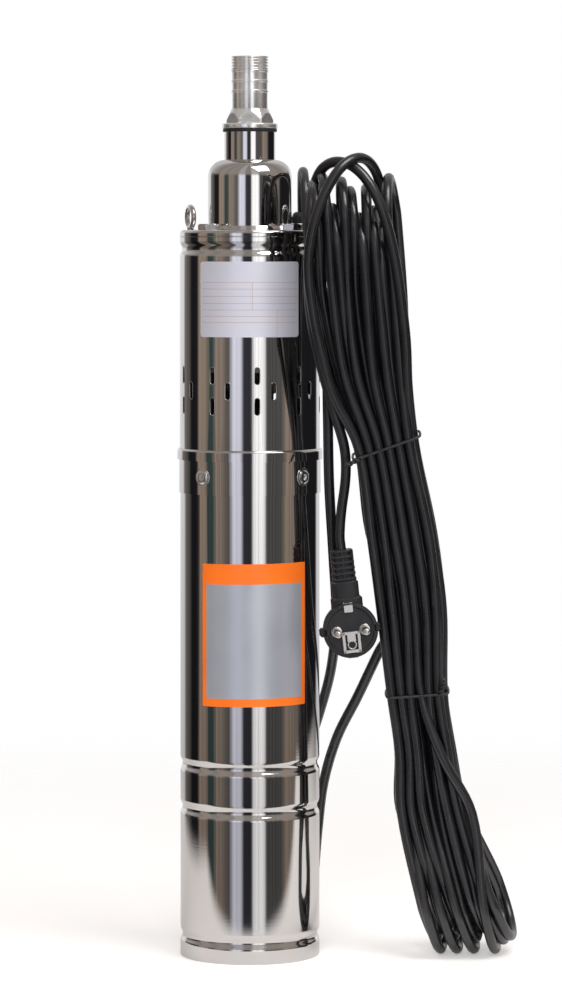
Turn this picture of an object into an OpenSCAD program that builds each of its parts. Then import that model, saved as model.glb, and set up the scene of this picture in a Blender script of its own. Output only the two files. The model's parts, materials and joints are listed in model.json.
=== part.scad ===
// Borehole submersible pump: an eccentric screw pump over an oil-filled motor, with its mains cable.
// Millimetres. The pump stands on the XY plane, its axis is Z, and its front faces -Y.
// Azimuths are measured from the front towards +X.

/* [Body tubes] */
// Outer diameter of the pump casing
casing_d = 96; // [94:1:106]
// Wall of the casing and of the motor tube
tube_wall = 1.2; // [1:0.1:1.5]
// How far the motor tube lies inside the casing's outer radius
tube_step = 0.3; // [0.2:0.1:0.6]
// Wall of the sleeve that joins the motor tube to the casing
sleeve_wall = 0.75; // [0.6:0.05:1]
// Height of the joint sleeve
sleeve_h = 28.6; // [27:0.2:34]
// Height of the flared lip at the foot of the casing
lip_h = 7.6; // [6:0.2:9]
// Radius of the section of the rolled grooves
groove_r = 5; // [4:0.5:6]
// Depth of the rolled grooves
groove_depth = 1.5; // [1.2:0.1:1.8]
// Radius of the rounded shoulders of the rolled grooves
groove_edge = 5; // [3:0.5:6]

/* [Motor] */
// Height of the lowest rolled groove
base_groove_z = 14.6; // [14:0.2:18]
// Diameter of the run capacitor
capacitor_d = 40; // [35:1:50]
// Height of the run capacitor's can
capacitor_h = 60; // [50:1:75]
// Length of the stator's plate stack
stator_len = 120; // [90:1:140]
// Bore of the stator
stator_bore = 48; // [44:1:52]
// Number of stator slots
slot_count = 24; // [12:6:24]
// Height of the winding's end turns
end_turn_h = 20; // [16:1:26]
// Gap between the stator and the rotor
air_gap = 0.4; // [0.35:0.05:0.6]
// Diameter of the shaft in the rotor
shaft_d = 20; // [18:1:24]

/* [Bearings and seal] */
// Bore of the lower ball bearing
lower_bore = 15; // [12:1:17]
// Outer diameter of the lower ball bearing
lower_od = 35; // [32:1:40]
// Width of the lower ball bearing
lower_w = 11; // [10:1:12]
// Bore of the upper ball bearing
upper_bore = 17; // [15:1:18]
// Outer diameter of the upper ball bearing
upper_od = 40; // [38:1:47]
// Width of the upper ball bearing
upper_w = 12; // [11:1:14]
// Diameter of the shaft's drive end
drive_d = 14; // [12:1:14]
// Height of the oil chamber over the upper bearing
oil_h = 34; // [32:1:40]
// Radius of the oil chamber
oil_r = 30; // [26:1:31]

/* [Screw pump] */
// Radius of the round section of the screw
screw_r = 8.5; // [7.5:0.25:9]
// Distance between the screw's axis and the pump's axis
screw_e = 2.6; // [2:0.1:2.8]
// Pitch of the screw
screw_pitch = 28; // [24:1:34]
// Length of the rubber stator
rubber_len = 76; // [68:1:90]
// Gap between the screw and the rubber
screw_gap = 0.4; // [0.35:0.05:0.6]
// Outer diameter of the steel jacket round the rubber
jacket_d = 62; // [54:1:64]
// Wall of the steel jacket
jacket_wall = 2; // [1.5:0.25:3]
// Height of the spacers that hold the suction ring
spacer_h = 57; // [55:1:70]
// Thickness of the suction ring
ring_t = 6; // [5:0.5:8]
// Diameter of the tie rods
rod_d = 8; // [6:1:8]

/* [Intake slots] */
// Length of a slot up the casing
slot_l = 12; // [9:0.5:14]
// Width of a slot
slot_w = 3.75; // [3:0.25:5]
// Height from one row of slots to the next
slot_pitch = 10.35; // [8:0.05:12]
// Angle from one slot to the next in a row
slot_step = 38; // [30:1:40]

/* [Head] */
// Thickness of the top plate's rim
plate_t = 5; // [4:0.5:8]
// Depth of the top plate's spigot inside the casing
spigot_h = 13.5; // [13:0.5:18]
// Outer diameter of the outlet bell
bell_d = 57.4; // [52:0.2:60]
// Height of the outlet bell
bell_h = 48; // [40:1:60]
// Diameter of the outlet neck
neck_d = 35; // [32:0.5:38]
// Height of the neck over the bell
neck_h = 19; // [14:1:26]
// Wall of the bell and the neck
bell_wall = 2; // [1.5:0.1:2.5]
// Outer diameter of the hose tail's rings
hose_d = 25.4; // [20:0.2:28]
// Length of the hose tail above its hexagon
hose_len = 36; // [30:1:50]
// Inner diameter of the hose tail
hose_bore = 19; // [12:0.5:19]
// Inner diameter of the lifting eyes
eye_bore = 11; // [8:0.5:12]
// Thickness of the lifting eyes' wire
eye_wire = 3.5; // [2.5:0.25:4]

/* [Cable] */
// Diameter of the cable
cable_d = 7; // [6:0.5:7]
// Depth of the cable's hank from front to back
hank_depth = 36; // [30:1:40]

/* [Hidden] */

$fn = 96;

// Clearances: fixed pieces, running pieces, and pieces that only pass each other
fit = 0.05;
run = 0.05;
pass = 0.3;
// Small overlap that lets a cut run past a face
past = 1;

casing_r = casing_d / 2;
casing_in = casing_r - tube_wall;
motor_r = casing_r - tube_step;
motor_in = motor_r - tube_wall;
bore_fit_r = motor_in - fit;
sleeve_r = motor_r + fit + sleeve_wall;
lip_in = sleeve_r + fit;
lip_r = lip_in + tube_wall;

// Rolled grooves: centre of the section circle beyond the tube, half the height from shoulder to shoulder,
// depth at which shoulder and groove meet, and half the bead's height
groove_off = groove_r - groove_depth;
edge_half = sqrt(pow(groove_r + groove_edge, 2) - pow(groove_off + groove_edge, 2));
edge_depth = groove_r * (groove_off + groove_edge) / (groove_r + groove_edge) - groove_off;
bead_half = sqrt(pow(groove_r + tube_wall, 2) - pow(groove_off + tube_wall, 2));

// Heights of the motor's pieces, from the floor up
cap_web = 5.4;
capacitor_sink = 4;
capacitor_seat = base_groove_z + cap_web;
cap_top = capacitor_seat + capacitor_sink;
oring_r = 1.1;
base_oring_z = cap_top - 2 * oring_r;
terminal_h = 8;
terminal_gap = 4;
bracket_down = 10;
bracket_up = 12;
lower_groove_z = capacitor_seat + capacitor_h + terminal_h + terminal_gap + bracket_down;
bracket_top = lower_groove_z + bracket_up;
turn_gap = 2;
stator_z0 = bracket_top + turn_gap + end_turn_h;
upper_groove_z = stator_z0 - bead_half - pass;
stator_z1 = stator_z0 + stator_len;
head_z0 = stator_z1 + end_turn_h + 4 * turn_gap;
web_t = 8;
oil_z0 = head_z0 + upper_w + web_t;
head_top = oil_z0 + oil_h;
cover_t = 5;
cover_top = head_top + cover_t;
sleeve_down = 21;
sleeve_z0 = head_top - sleeve_down;
sleeve_top = sleeve_z0 + sleeve_h;
screw_down = 9;
screw_z = head_top - screw_down;
race_lip = 4;
rod_sink = 5;
screw_azimuths = [-41, 49, 139, 229];

// Heights of the pump's pieces
lip_z0 = sleeve_top - lip_h + lip_r - casing_r;
lip_top = lip_z0 + lip_h;
ring_z0 = cover_top + spacer_h;
ring_top = ring_z0 + ring_t;
seat_depth = 2;
rubber_z0 = ring_top - seat_depth;
rubber_z1 = rubber_z0 + rubber_len;
spigot_z0 = rubber_z1 - seat_depth;
casing_top = spigot_z0 + spigot_h;
head_groove_down = 8;
head_groove_z = casing_top - head_groove_down;
head_oring_z = casing_top - 2 * oring_r;
plate_top = casing_top + plate_t;
slot_row_down = 2.1;
slot_row_z = ring_z0 - slot_row_down;

// Drive: the shaft's hub, the ball-ended rod and the socket under the screw
drive_r = drive_d / 2;
ball_r = 5.5;
ball_play = 0.5;
pocket_r = ball_r + ball_play;
pocket_floor = 1;
neck_r = 3.2;
pin_r = 1.5;
pin_slot_r = 2.1;
hub_r = 11;
hub_gap = 2.5;
hub_z0 = cover_top + hub_gap;
hub_grip = 7;
hub_web = 1;
pivot_low_z = hub_z0 + hub_grip + hub_web + pocket_floor + ball_r;
hub_top = pivot_low_z + ball_r;
socket_r = 9;
screw_lead_in = 2;
screw_lead_out = 3;
screw_z0 = rubber_z0 - screw_lead_in;
screw_z1 = rubber_z1 + screw_lead_out;
socket_web = 6.5;
pivot_high_z = screw_z0 - socket_web - pocket_floor - ball_r;
socket_z0 = pivot_high_z - ball_r - ball_play;
rod_rise = pivot_high_z - pivot_low_z;
rod_len = norm([screw_e, rod_rise]);
rod_tilt = atan(screw_e / rod_rise);

// Places on the top plate
spacer_wall = 2;
spacer_r = rod_d / 2 + spacer_wall;
rod_margin = 1.6;
rod_circle_r = casing_in - spacer_r - rod_margin;
rod_azimuths = [-45, 45, 135, 225];
eye_inset = 6.5;
eye_circle_r = casing_r - eye_inset;
eye_azimuths = [-100, 80];
eye_turn = 30;
eye_shank_r = 2.25;
eye_root_z = plate_top - plate_t - 3;
eye_flat = 0.25;
eye_ring_r = eye_bore / 2 + eye_wire / 2 - eye_flat;
eye_z = plate_top + eye_ring_r + eye_wire / 2;
gland_inset = 10;
gland_circle_r = casing_r - gland_inset;
gland_azimuth = 108;
gland_thread_r = 5.5;
gland_hex_h = 4.5;
gland_nut_h = 8;
gland_seal_r = 5.4;
gland_top = plate_top + gland_hex_h + gland_nut_h;
cable_r = cable_d / 2;
lead_r = cable_r + fit;

// Outlet
bell_r = bell_d / 2;
outlet_r = neck_d / 2;
bell_top = plate_top + bell_h;
neck_top = bell_top + neck_h;
neck_blend = 0.4;
shoulder_r = bell_r - outlet_r + neck_blend;
plate_bore_r = 20;
thread_r = outlet_r - bell_wall;
thread_len = 15;
gasket_t = 2.4;
gasket_r = outlet_r + 0.9;
flange_t = 3.4;
flange_r = outlet_r + 1.6;
hex_h = 10;
hex_r = outlet_r - 1.5;
hose_r = hose_d / 2;
ridge_h = 0.4;
flange_z0 = neck_top + gasket_t;
hex_z0 = flange_z0 + flange_t;
hose_z0 = hex_z0 + hex_h;
hose_top = hose_z0 + hose_len;
ridge_start = 12;
ridges = 3;
ridge_pitch = 6.9;
end_ridges = 5;
end_ridge_pitch = 2;

// Cable route outside the pump: points chosen by hand
gland_exit = [
    gland_circle_r * sin(gland_azimuth),
    -gland_circle_r * cos(gland_azimuth),
    gland_top
];
lead_route = concat(
    [gland_exit, gland_exit + [0, 0, 5]],
    [
        [36, 8.5, 524], [36, 0, 532.5], [36.2, -13, 536.5], [36.6, -26, 533.5],
        [37.4, -36, 525], [38.4, -42.5, 512], [39.6, -46.5, 496], [41, -49.5, 478]
    ]
);
loop_route = [
    [100, -24, 234], [88, -12, 208], [74, 4, 176], [60, 18, 146], [51, 28, 114], [47, 33, 82],
    [45, 36, 56], [43, 40, 28], [38, 50, 10], [30, 63, 6], [22, 76, 14], [18, 82, 36], [19, 80, 64],
    [26, 70, 96], [38, 50, 130], [48, 28, 162], [56, 8, 196], [59, -10, 234], [57, -20, 274],
    [54, -29, 324], [53, -36, 372], [52, -41, 412], [49, -45, 446]
];
plug_face = [68.3, -50, 226.5];
// Turn of the plug to the side, and its lean in the plane of its face
plug_turn = 3;
plug_lean = 6;
plug_r = 18.6;
plug_depth = 24;
plug_mid = 13;
neck_top_z = 33;
sleeve_top_z = 54;
pin_spacing = 19;
plug_up = [-sin(plug_lean) * cos(plug_turn), -sin(plug_lean) * sin(plug_turn), cos(plug_lean)];
plug_back = [-sin(plug_turn), cos(plug_turn), 0];
cord_start = plug_face + plug_mid * plug_back + sleeve_top_z * plug_up;
tail_route = concat(
    [cord_start, cord_start + 9 * plug_up],
    [[62, -38, 305], [65, -40.5, 330], [64, -43.5, 350], [57, -47.5, 374]],
    [[48, -52, 406], [42, -55, 434], [40, -56, 454]]
);
// Outline of the hank seen from the front, leaning on the pump, with a tie at two heights
tie_low = [181, 93, 135];
tie_high = [351, 70, 115];
tie_half = 6;
tie_wire = 2;
hank_lean = 6.3;
hank_outline = [
    [103, 75], [124, 4], [150, 0], [174, 3], [183, 20], [150, 110], [141, 145],
    [tie_low[2], tie_low[0] - tie_half], [tie_low[2], tie_low[0] + tie_half], [134, 240], [129, 290],
    [tie_high[2], tie_high[0] - tie_half], [tie_high[2], tie_high[0] + tie_half],
    [111, 430], [110, 510], [98, 540], [75, 551], [48, 546], [36, 526], [37, 490], [44, 430], [58, 385],
    [tie_high[1], tie_high[0] + tie_half], [tie_high[1], tie_high[0] - tie_half], [80, 290], [88, 240],
    [tie_low[1], tie_low[0] + tie_half], [tie_low[1], tie_low[0] - tie_half], [98, 130]
];

// Placing helpers
module at_azimuth(azimuth, r) {
    rotate([0, 0, azimuth])
        translate([0, -r, 0])
            children();
}

module bar(r, z0, z1) {
    translate([0, 0, z0])
        cylinder(r = r, h = z1 - z0);
}

module ring(r_out, r_in, z0, z1) {
    difference() {
        bar(r_out, z0, z1);
        bar(r_in, z0 - past, z1 + past);
    }
}

module hexagon(r, z0, z1) {
    translate([0, 0, z0])
        cylinder(r = r, h = z1 - z0, $fn = 6);
}

// Section of a tube wall with rolled grooves, each a notch outside and a bead inside
module grooved_wall(r_out, z0, z1, grooves) {
    difference() {
        union() {
            translate([r_out - tube_wall, z0])
                square([tube_wall, z1 - z0]);
            for (z = grooves)
                intersection() {
                    translate([r_out + groove_off, z])
                        circle(groove_r + tube_wall);
                    translate([r_out - 2 * groove_r, z - 2 * groove_r])
                        square([2 * groove_r, 4 * groove_r]);
                }
        }
        for (z = grooves)
            translate([r_out, z])
                groove_notch();
    }
}

module groove_notch() {
    translate([groove_off, 0])
        circle(groove_r);
    difference() {
        translate([-edge_depth, -edge_half])
            square([edge_depth + past, 2 * edge_half]);
        for (z = [-edge_half, edge_half])
            translate([-groove_edge, z])
                circle(groove_edge);
    }
}

// Cut in a turned piece for the bead of a rolled groove in the tube round it
module bead_cut(r_out, z) {
    rotate_extrude()
        translate([r_out + groove_off, z])
            circle(groove_r + tube_wall + fit);
}

module oring(r, z) {
    rotate_extrude()
        translate([r - oring_r, z])
            circle(oring_r);
}

module oring_groove(r, z) {
    ring(r + past, r - 2 * oring_r - fit, z - oring_r - pass, z + oring_r + pass);
}

// Motor
module motor_tube() {
    color("silver")
        difference() {
            rotate_extrude()
                grooved_wall(motor_r, 0, head_top, [base_groove_z, lower_groove_z, upper_groove_z]);
            screw_holes();
        }
}

module base_cap() {
    color("lightgray")
        difference() {
            bar(bore_fit_r, 0, cap_top);
            bead_cut(motor_r, base_groove_z);
            oring_groove(bore_fit_r, base_oring_z);
            bar(capacitor_d / 2 + pass, capacitor_seat, cap_top + past);
        }
}

module base_oring() {
    color("black")
        oring(bore_fit_r, base_oring_z);
}

module run_capacitor() {
    tab = [6.3, 0.8];
    crimp = 3;
    can_top = capacitor_seat + capacitor_h;
    tab_offset = capacitor_d / 4;
    color("whitesmoke") {
        rotate_extrude()
            union() {
                translate([0, capacitor_seat])
                    square([capacitor_d / 2, capacitor_h - crimp]);
                translate([0, can_top - crimp])
                    square([capacitor_d / 2 - crimp, crimp]);
            }
        for (x = [-tab_offset, tab_offset])
            translate([x - tab[1] / 2, -tab[0] / 2, can_top - past])
                cube([tab[1], tab[0], terminal_h + past]);
    }
}

module lower_bracket() {
    z0 = lower_groove_z - bracket_down;
    seat_z = bracket_top - lower_w;
    wire_hole_r = 4;
    color("darkgray")
        difference() {
            bar(bore_fit_r, z0, bracket_top);
            bead_cut(motor_r, lower_groove_z);
            bar(lower_od / 2 + fit, seat_z, bracket_top + past);
            bar(lower_od / 2 - race_lip, seat_z - race_lip, seat_z + past);
            for (azimuth = [0, 180])
                at_azimuth(azimuth, (lower_od / 2 + bore_fit_r) / 2)
                    bar(wire_hole_r, z0 - past, bracket_top + past);
        }
}

// Ball bearings: pitch circle, ball size and the ring shoulders follow from the bore and the outside
ball_share = 0.147;
land_share = 0.7;
cage_share = 0.35;
cage_inset = 1.2;

function pitch_r(bore, od) = (bore + od) / 4;
function ball_size(bore, od) = ball_share * (od - bore);

module race(bore, od, w) {
    rotate_extrude()
        translate([pitch_r(bore, od), w / 2])
            circle(ball_size(bore, od) + run);
}

module bearing_outer(bore, od, w) {
    difference() {
        ring(od / 2, pitch_r(bore, od) + land_share * ball_size(bore, od), 0, w);
        race(bore, od, w);
    }
}

module bearing_inner(bore, od, w) {
    difference() {
        ring(pitch_r(bore, od) - land_share * ball_size(bore, od), bore / 2, 0, w);
        race(bore, od, w);
    }
}

module bearing_balls(bore, od, w) {
    balls = 8;
    r = ball_size(bore, od);
    cage_half = cage_share * r;
    difference() {
        ring(pitch_r(bore, od) + cage_half, pitch_r(bore, od) - cage_half, cage_inset, w - cage_inset);
        for (i = [0:balls - 1])
            at_azimuth(i * 360 / balls, pitch_r(bore, od))
                translate([0, 0, w / 2])
                    sphere(r + 2 * run);
    }
    for (i = [0:balls - 1])
        at_azimuth(i * 360 / balls, pitch_r(bore, od))
            translate([0, 0, w / 2])
                sphere(r);
}

module lower_bearing_outer() {
    color("slategray")
        translate([0, 0, bracket_top - lower_w])
            bearing_outer(lower_bore, lower_od, lower_w);
}

module lower_bearing_balls() {
    color("gainsboro")
        translate([0, 0, bracket_top - lower_w])
            bearing_balls(lower_bore, lower_od, lower_w);
}

module lower_bearing_inner() {
    color("slategray")
        translate([0, 0, bracket_top - lower_w])
            bearing_inner(lower_bore, lower_od, lower_w);
}

module upper_bearing_outer() {
    color("slategray")
        translate([0, 0, head_z0])
            bearing_outer(upper_bore, upper_od, upper_w);
}

module upper_bearing_balls() {
    color("gainsboro")
        translate([0, 0, head_z0])
            bearing_balls(upper_bore, upper_od, upper_w);
}

module upper_bearing_inner() {
    color("slategray")
        translate([0, 0, head_z0])
            bearing_inner(upper_bore, upper_od, upper_w);
}

// Stator slot, seen along the shaft: a narrow mouth at the bore and a wider pocket behind it
tooth_tip = 2;
slot_foot_r = stator_bore / 2 + tooth_tip;
yoke_share = 0.49;
slot_end_r = bore_fit_r - yoke_share * (bore_fit_r - slot_foot_r);
slot_arc = 360 / slot_count;
slot_share = 0.54;
mouth_w = 2.2;

module slot_pocket(inset) {
    half_angle = slot_share * slot_arc / 2 * PI / 180;
    foot_half = half_angle * slot_foot_r - inset;
    end_half = half_angle * slot_end_r - inset;
    polygon([
        [slot_foot_r + inset, -foot_half], [slot_end_r - inset, -end_half],
        [slot_end_r - inset, end_half], [slot_foot_r + inset, foot_half]
    ]);
}

module stator_core() {
    color("dimgray")
        translate([0, 0, stator_z0])
            linear_extrude(stator_len)
                difference() {
                    circle(bore_fit_r);
                    circle(stator_bore / 2);
                    for (i = [0:slot_count - 1])
                        rotate(i * slot_arc) {
                            slot_pocket(0);
                            translate([stator_bore / 2 - past, -mouth_w / 2])
                                square([slot_foot_r - stator_bore / 2 + 2 * past, mouth_w]);
                        }
                }
}

module stator_winding() {
    inset = 1;
    turn_r0 = slot_foot_r + inset;
    turn_r1 = slot_end_r - inset;
    corner = 3;
    color("peru") {
        for (i = [0:slot_count - 1])
            rotate([0, 0, i * slot_arc])
                translate([0, 0, stator_z0 - end_turn_h / 2])
                    linear_extrude(stator_len + end_turn_h)
                        slot_pocket(pass);
        for (z0 = [stator_z0 - end_turn_h, stator_z1 + turn_gap])
            rotate_extrude()
                union() {
                    translate([turn_r0, z0 + corner])
                        square([turn_r1 - turn_r0, end_turn_h - turn_gap - 2 * corner]);
                    translate([turn_r0 + corner, z0])
                        square([turn_r1 - turn_r0 - 2 * corner, end_turn_h - turn_gap]);
                }
    }
}

module rotor_core() {
    color("gray")
        ring(stator_bore / 2 - air_gap, shaft_d / 2 + fit, stator_z0, stator_z1);
}

module rotor_end_rings() {
    ring_h = 8;
    blades = 8;
    blade = [1.6, 5, 6];
    edge_inset = 0.6;
    shaft_gap = 3;
    r_out = stator_bore / 2 - air_gap - edge_inset;
    r_in = shaft_d / 2 + shaft_gap;
    color("lightsteelblue") {
        ring(r_out, r_in, stator_z0 - ring_h, stator_z0);
        ring(r_out, r_in, stator_z1, stator_z1 + ring_h);
        for (i = [0:blades - 1])
            at_azimuth(i * 360 / blades, (r_out + r_in) / 2)
                translate([-blade[0] / 2, -blade[1] / 2, stator_z1 + ring_h - past])
                    cube(blade);
    }
}

module motor_shaft() {
    tip = 3;
    tip_z = bracket_top - lower_w - tip;
    shoulder = 1;
    color("lightgray")
        rotate_extrude()
            polygon([
                [0, tip_z], [lower_bore / 2 - fit, tip_z],
                [lower_bore / 2 - fit, bracket_top + shoulder], [shaft_d / 2, bracket_top + shoulder],
                [shaft_d / 2, head_z0 - shoulder], [upper_bore / 2 - fit, head_z0 - shoulder],
                [upper_bore / 2 - fit, oil_z0 - shoulder], [drive_r, oil_z0 - shoulder],
                [drive_r, hub_z0 + hub_grip - fit], [0, hub_z0 + hub_grip - fit]
            ]);
}

module motor_head() {
    color("darkgray")
        difference() {
            bar(bore_fit_r, head_z0, head_top);
            bar(upper_od / 2 + fit, head_z0 - past, head_z0 + upper_w);
            bar(upper_od / 2 - race_lip, head_z0, oil_z0 + past);
            bar(oil_r, oil_z0, head_top + past);
            at_azimuth(gland_azimuth, gland_circle_r)
                bar(lead_r, head_z0 - past, head_top + past);
            for (azimuth = rod_azimuths)
                at_azimuth(azimuth, rod_circle_r)
                    bar(rod_d / 2 + fit, head_top - rod_sink - fit, head_top + past);
            screw_holes();
        }
}

// Mechanical seal: a seat in the cover, and a spring that presses the turning ring on it
shaft_hole_r = drive_r + 1;
boss_h = 8;
seat_r = 14;
seat_h = 6;
seat_z1 = cover_top - 2 * cover_t;
seat_z0 = seat_z1 - seat_h;
collar_z0 = oil_z0 + 1;
seal_step = 1.5;
seal_ring_h = 6;
collar_h = 5;
spring_wire = 1;
spring_turns = 3;
spring_mean_r = drive_r + 3;

module seal_cover() {
    color("gainsboro")
        difference() {
            union() {
                bar(motor_r, head_top, cover_top);
                bar(oil_r - pass, head_top - boss_h, head_top);
            }
            bar(shaft_hole_r, head_top - boss_h - past, cover_top + past);
            bar(seat_r + fit, head_top - boss_h - past, seat_z1);
            at_azimuth(gland_azimuth, gland_circle_r)
                bar(gland_seal_r + fit, head_top - past, cover_top + past);
            rod_holes(head_top, cover_top);
        }
}

module seal_seat() {
    color("ivory")
        ring(seat_r, shaft_hole_r, seat_z0, seat_z1);
}

module seal_ring() {
    color("dimgray")
        ring(seat_r - seal_step, drive_r + run, seat_z0 - run - seal_ring_h, seat_z0 - run);
}

module seal_collar() {
    color("silver")
        ring(seat_r - seal_step, drive_r + run, collar_z0, collar_z0 + collar_h);
}

module seal_spring() {
    z0 = collar_z0 + collar_h + spring_wire / 2;
    z1 = seat_z0 - run - seal_ring_h - spring_wire / 2;
    steps = 12 * spring_turns;
    coil = [
        for (i = [0:steps])
            [
                spring_mean_r * cos(360 * spring_turns * i / steps),
                spring_mean_r * sin(360 * spring_turns * i / steps),
                z0 + (z1 - z0) * i / steps
            ]
    ];
    color("silver")
        sweep(coil, spring_wire / 2, 8);
}

// Joint between the motor and the pump
screw_shank_r = 3;
screw_head_r = 6;
screw_head_h = 1.7;
screw_reach = 8;
screw_seat_r = sqrt(pow(sleeve_r, 2) - pow(screw_head_r, 2));

module screw_holes() {
    for (azimuth = screw_azimuths)
        at_azimuth(azimuth, motor_r + past)
            translate([0, 0, screw_z])
                rotate([-90, 0, 0])
                    cylinder(r = screw_shank_r + fit, h = screw_reach + past);
}

module joint_sleeve() {
    color("silver")
        difference() {
            ring(sleeve_r, motor_r + fit, sleeve_z0, sleeve_top);
            for (azimuth = screw_azimuths)
                at_azimuth(azimuth, screw_seat_r)
                    translate([0, 0, screw_z])
                        rotate([90, 0, 0]) {
                            cylinder(r = screw_head_r + pass, h = past);
                            translate([0, 0, -2 * past])
                                cylinder(r = screw_shank_r + fit, h = 3 * past);
                        }
        }
}

module joint_screws() {
    key_r = 2.3;
    key_depth = 1.3;
    edge = 0.6;
    crown = 1.8;
    color("lightgray")
        for (azimuth = screw_azimuths)
            at_azimuth(azimuth, screw_seat_r)
                translate([0, 0, screw_z])
                    rotate([90, 0, 0])
                        difference() {
                            union() {
                                cylinder(r = screw_head_r, h = screw_head_h - edge);
                                translate([0, 0, screw_head_h - edge])
                                    cylinder(r1 = screw_head_r, r2 = screw_head_r - crown, h = edge);
                                translate([0, 0, -screw_reach + fit])
                                    cylinder(r = screw_shank_r, h = screw_reach);
                            }
                            translate([0, 0, screw_head_h - key_depth])
                                cylinder(r = key_r, h = key_depth + past, $fn = 6);
                        }
}

// Drive from the shaft to the screw
module coupling_hub() {
    color("silver")
        difference() {
            bar(hub_r, hub_z0, hub_top);
            bar(drive_r + fit, hub_z0 - past, hub_z0 + hub_grip);
            bar(pocket_r, hub_z0 + hub_grip + hub_web, hub_top + past);
            translate([0, 0, pivot_low_z])
                rotate([90, 0, 0])
                    cylinder(r = pin_r + fit, h = 3 * hub_r, center = true);
        }
}

module lower_drive_pin() {
    color("lightgray")
        translate([0, 0, pivot_low_z])
            rotate([90, 0, 0])
                cylinder(r = pin_r, h = 2 * hub_r - past, center = true);
}

module along_rod() {
    translate([0, 0, pivot_low_z])
        rotate([0, rod_tilt, 0])
            children();
}

module connecting_rod() {
    color("lightgray")
        along_rod()
            difference() {
                union() {
                    sphere(ball_r);
                    bar(neck_r, 0, rod_len);
                    translate([0, 0, rod_len])
                        sphere(ball_r);
                }
                for (z = [0, rod_len])
                    translate([0, 0, z])
                        rotate([90, 0, 0])
                            cylinder(r = pin_slot_r, h = 3 * ball_r, center = true);
            }
}

module rod_boot() {
    gap = 2.5;
    boot_wall = 1.5;
    color("black")
        along_rod()
            ring(neck_r + pass + boot_wall, neck_r + pass, ball_r + gap, rod_len - ball_r - gap);
}

module rotor_socket() {
    color("silver")
        translate([screw_e, 0, 0])
            difference() {
                bar(socket_r, socket_z0, screw_z0);
                bar(pocket_r, socket_z0 - past, pivot_high_z + ball_r + pocket_floor);
                translate([0, 0, pivot_high_z])
                    rotate([90, 0, 0])
                        cylinder(r = pin_r + fit, h = 3 * socket_r, center = true);
            }
}

module upper_drive_pin() {
    color("lightgray")
        translate([screw_e, 0, pivot_high_z])
            rotate([90, 0, 0])
                cylinder(r = pin_r, h = 2 * socket_r - past, center = true);
}

// Helix angles: the screw turns once a pitch, the rubber's double-start cavity once in two
screw_rate = 360 / screw_pitch;

module screw_rotor() {
    turn = screw_rate * (screw_z1 - screw_z0);
    color("silver")
        translate([screw_e, 0, screw_z0])
            rotate([0, 0, screw_rate * (screw_z0 - rubber_z0)])
                linear_extrude(screw_z1 - screw_z0, twist = -turn, slices = ceil(turn / 12), $fn = 24)
                    translate([screw_e, 0])
                        circle(screw_r);
}

module rubber_stator() {
    cavity_r = screw_r + screw_gap;
    turn = screw_rate / 2 * (rubber_len + 2 * past);
    color("black")
        difference() {
            bar(jacket_d / 2 - jacket_wall - fit, rubber_z0, rubber_z1);
            translate([0, 0, rubber_z0 - past])
                rotate([0, 0, -screw_rate / 2 * past])
                    linear_extrude(rubber_len + 2 * past, twist = -turn, slices = ceil(turn / 9), $fn = 28)
                        union() {
                            for (x = [-2 * screw_e, 2 * screw_e])
                                translate([x, 0])
                                    circle(cavity_r);
                            square([4 * screw_e, 2 * cavity_r], center = true);
                        }
        }
}

module stator_jacket() {
    color("silver")
        ring(jacket_d / 2, jacket_d / 2 - jacket_wall, rubber_z0, rubber_z1);
}

module suction_ring() {
    inlet_gap = 3.3;
    inlet_r = 2 * screw_e + screw_r + inlet_gap;
    color("gainsboro")
        difference() {
            bar(casing_in - pass, ring_z0, ring_top);
            bar(inlet_r, ring_z0 - past, ring_top + past);
            bar(jacket_d / 2 + fit, rubber_z0, ring_top + past);
            rod_holes(ring_z0, ring_top);
            at_azimuth(gland_azimuth, gland_circle_r)
                bar(lead_r, ring_z0 - past, ring_top + past);
        }
}

module rod_holes(z0, z1) {
    for (azimuth = rod_azimuths)
        at_azimuth(azimuth, rod_circle_r)
            bar(rod_d / 2 + fit, z0 - past, z1 + past);
}

nut_h = 4;
nut_wall = 3.5;
nut_r = rod_d / 2 + nut_wall;

module tie_rods() {
    color("silver")
        for (azimuth = rod_azimuths)
            at_azimuth(azimuth, rod_circle_r)
                bar(rod_d / 2, head_top - rod_sink, plate_top + nut_h);
}

module tie_spacers() {
    color("lightgray")
        for (azimuth = rod_azimuths)
            at_azimuth(azimuth, rod_circle_r)
                ring(spacer_r, rod_d / 2 + fit, cover_top, ring_z0);
}

module tie_nuts() {
    color("lightgray")
        for (azimuth = rod_azimuths)
            at_azimuth(azimuth, rod_circle_r)
                difference() {
                    hexagon(nut_r, plate_top, plate_top + nut_h);
                    bar(rod_d / 2 + fit, plate_top - past, plate_top + nut_h + past);
                }
}

// Casing: a tube with a rolled groove under its top edge, a flared lip at its foot and rows of slots
module casing_section() {
    shoulder = lip_r - casing_r;
    grooved_wall(casing_r, lip_top - shoulder, casing_top, [head_groove_z]);
    translate([lip_in, lip_z0])
        square([tube_wall, lip_h - shoulder]);
    translate([casing_in, lip_top - shoulder])
        square([tube_wall, shoulder]);
    intersection() {
        translate([casing_r, lip_top - shoulder])
            circle(shoulder);
        translate([casing_r - past / 2, lip_top - shoulder])
            square([shoulder + past, shoulder + past]);
    }
}

module intake_slot() {
    straight = slot_l - slot_w;
    rotate([90, 0, 0])
        linear_extrude(4 * tube_wall, center = true)
            union() {
                square([slot_w, straight], center = true);
                for (z = [-straight / 2, straight / 2])
                    translate([0, z])
                        circle(slot_w / 2);
            }
}

slot_columns = 4;
slot_start = 6.3;
slot_shift = 13.7;

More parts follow.
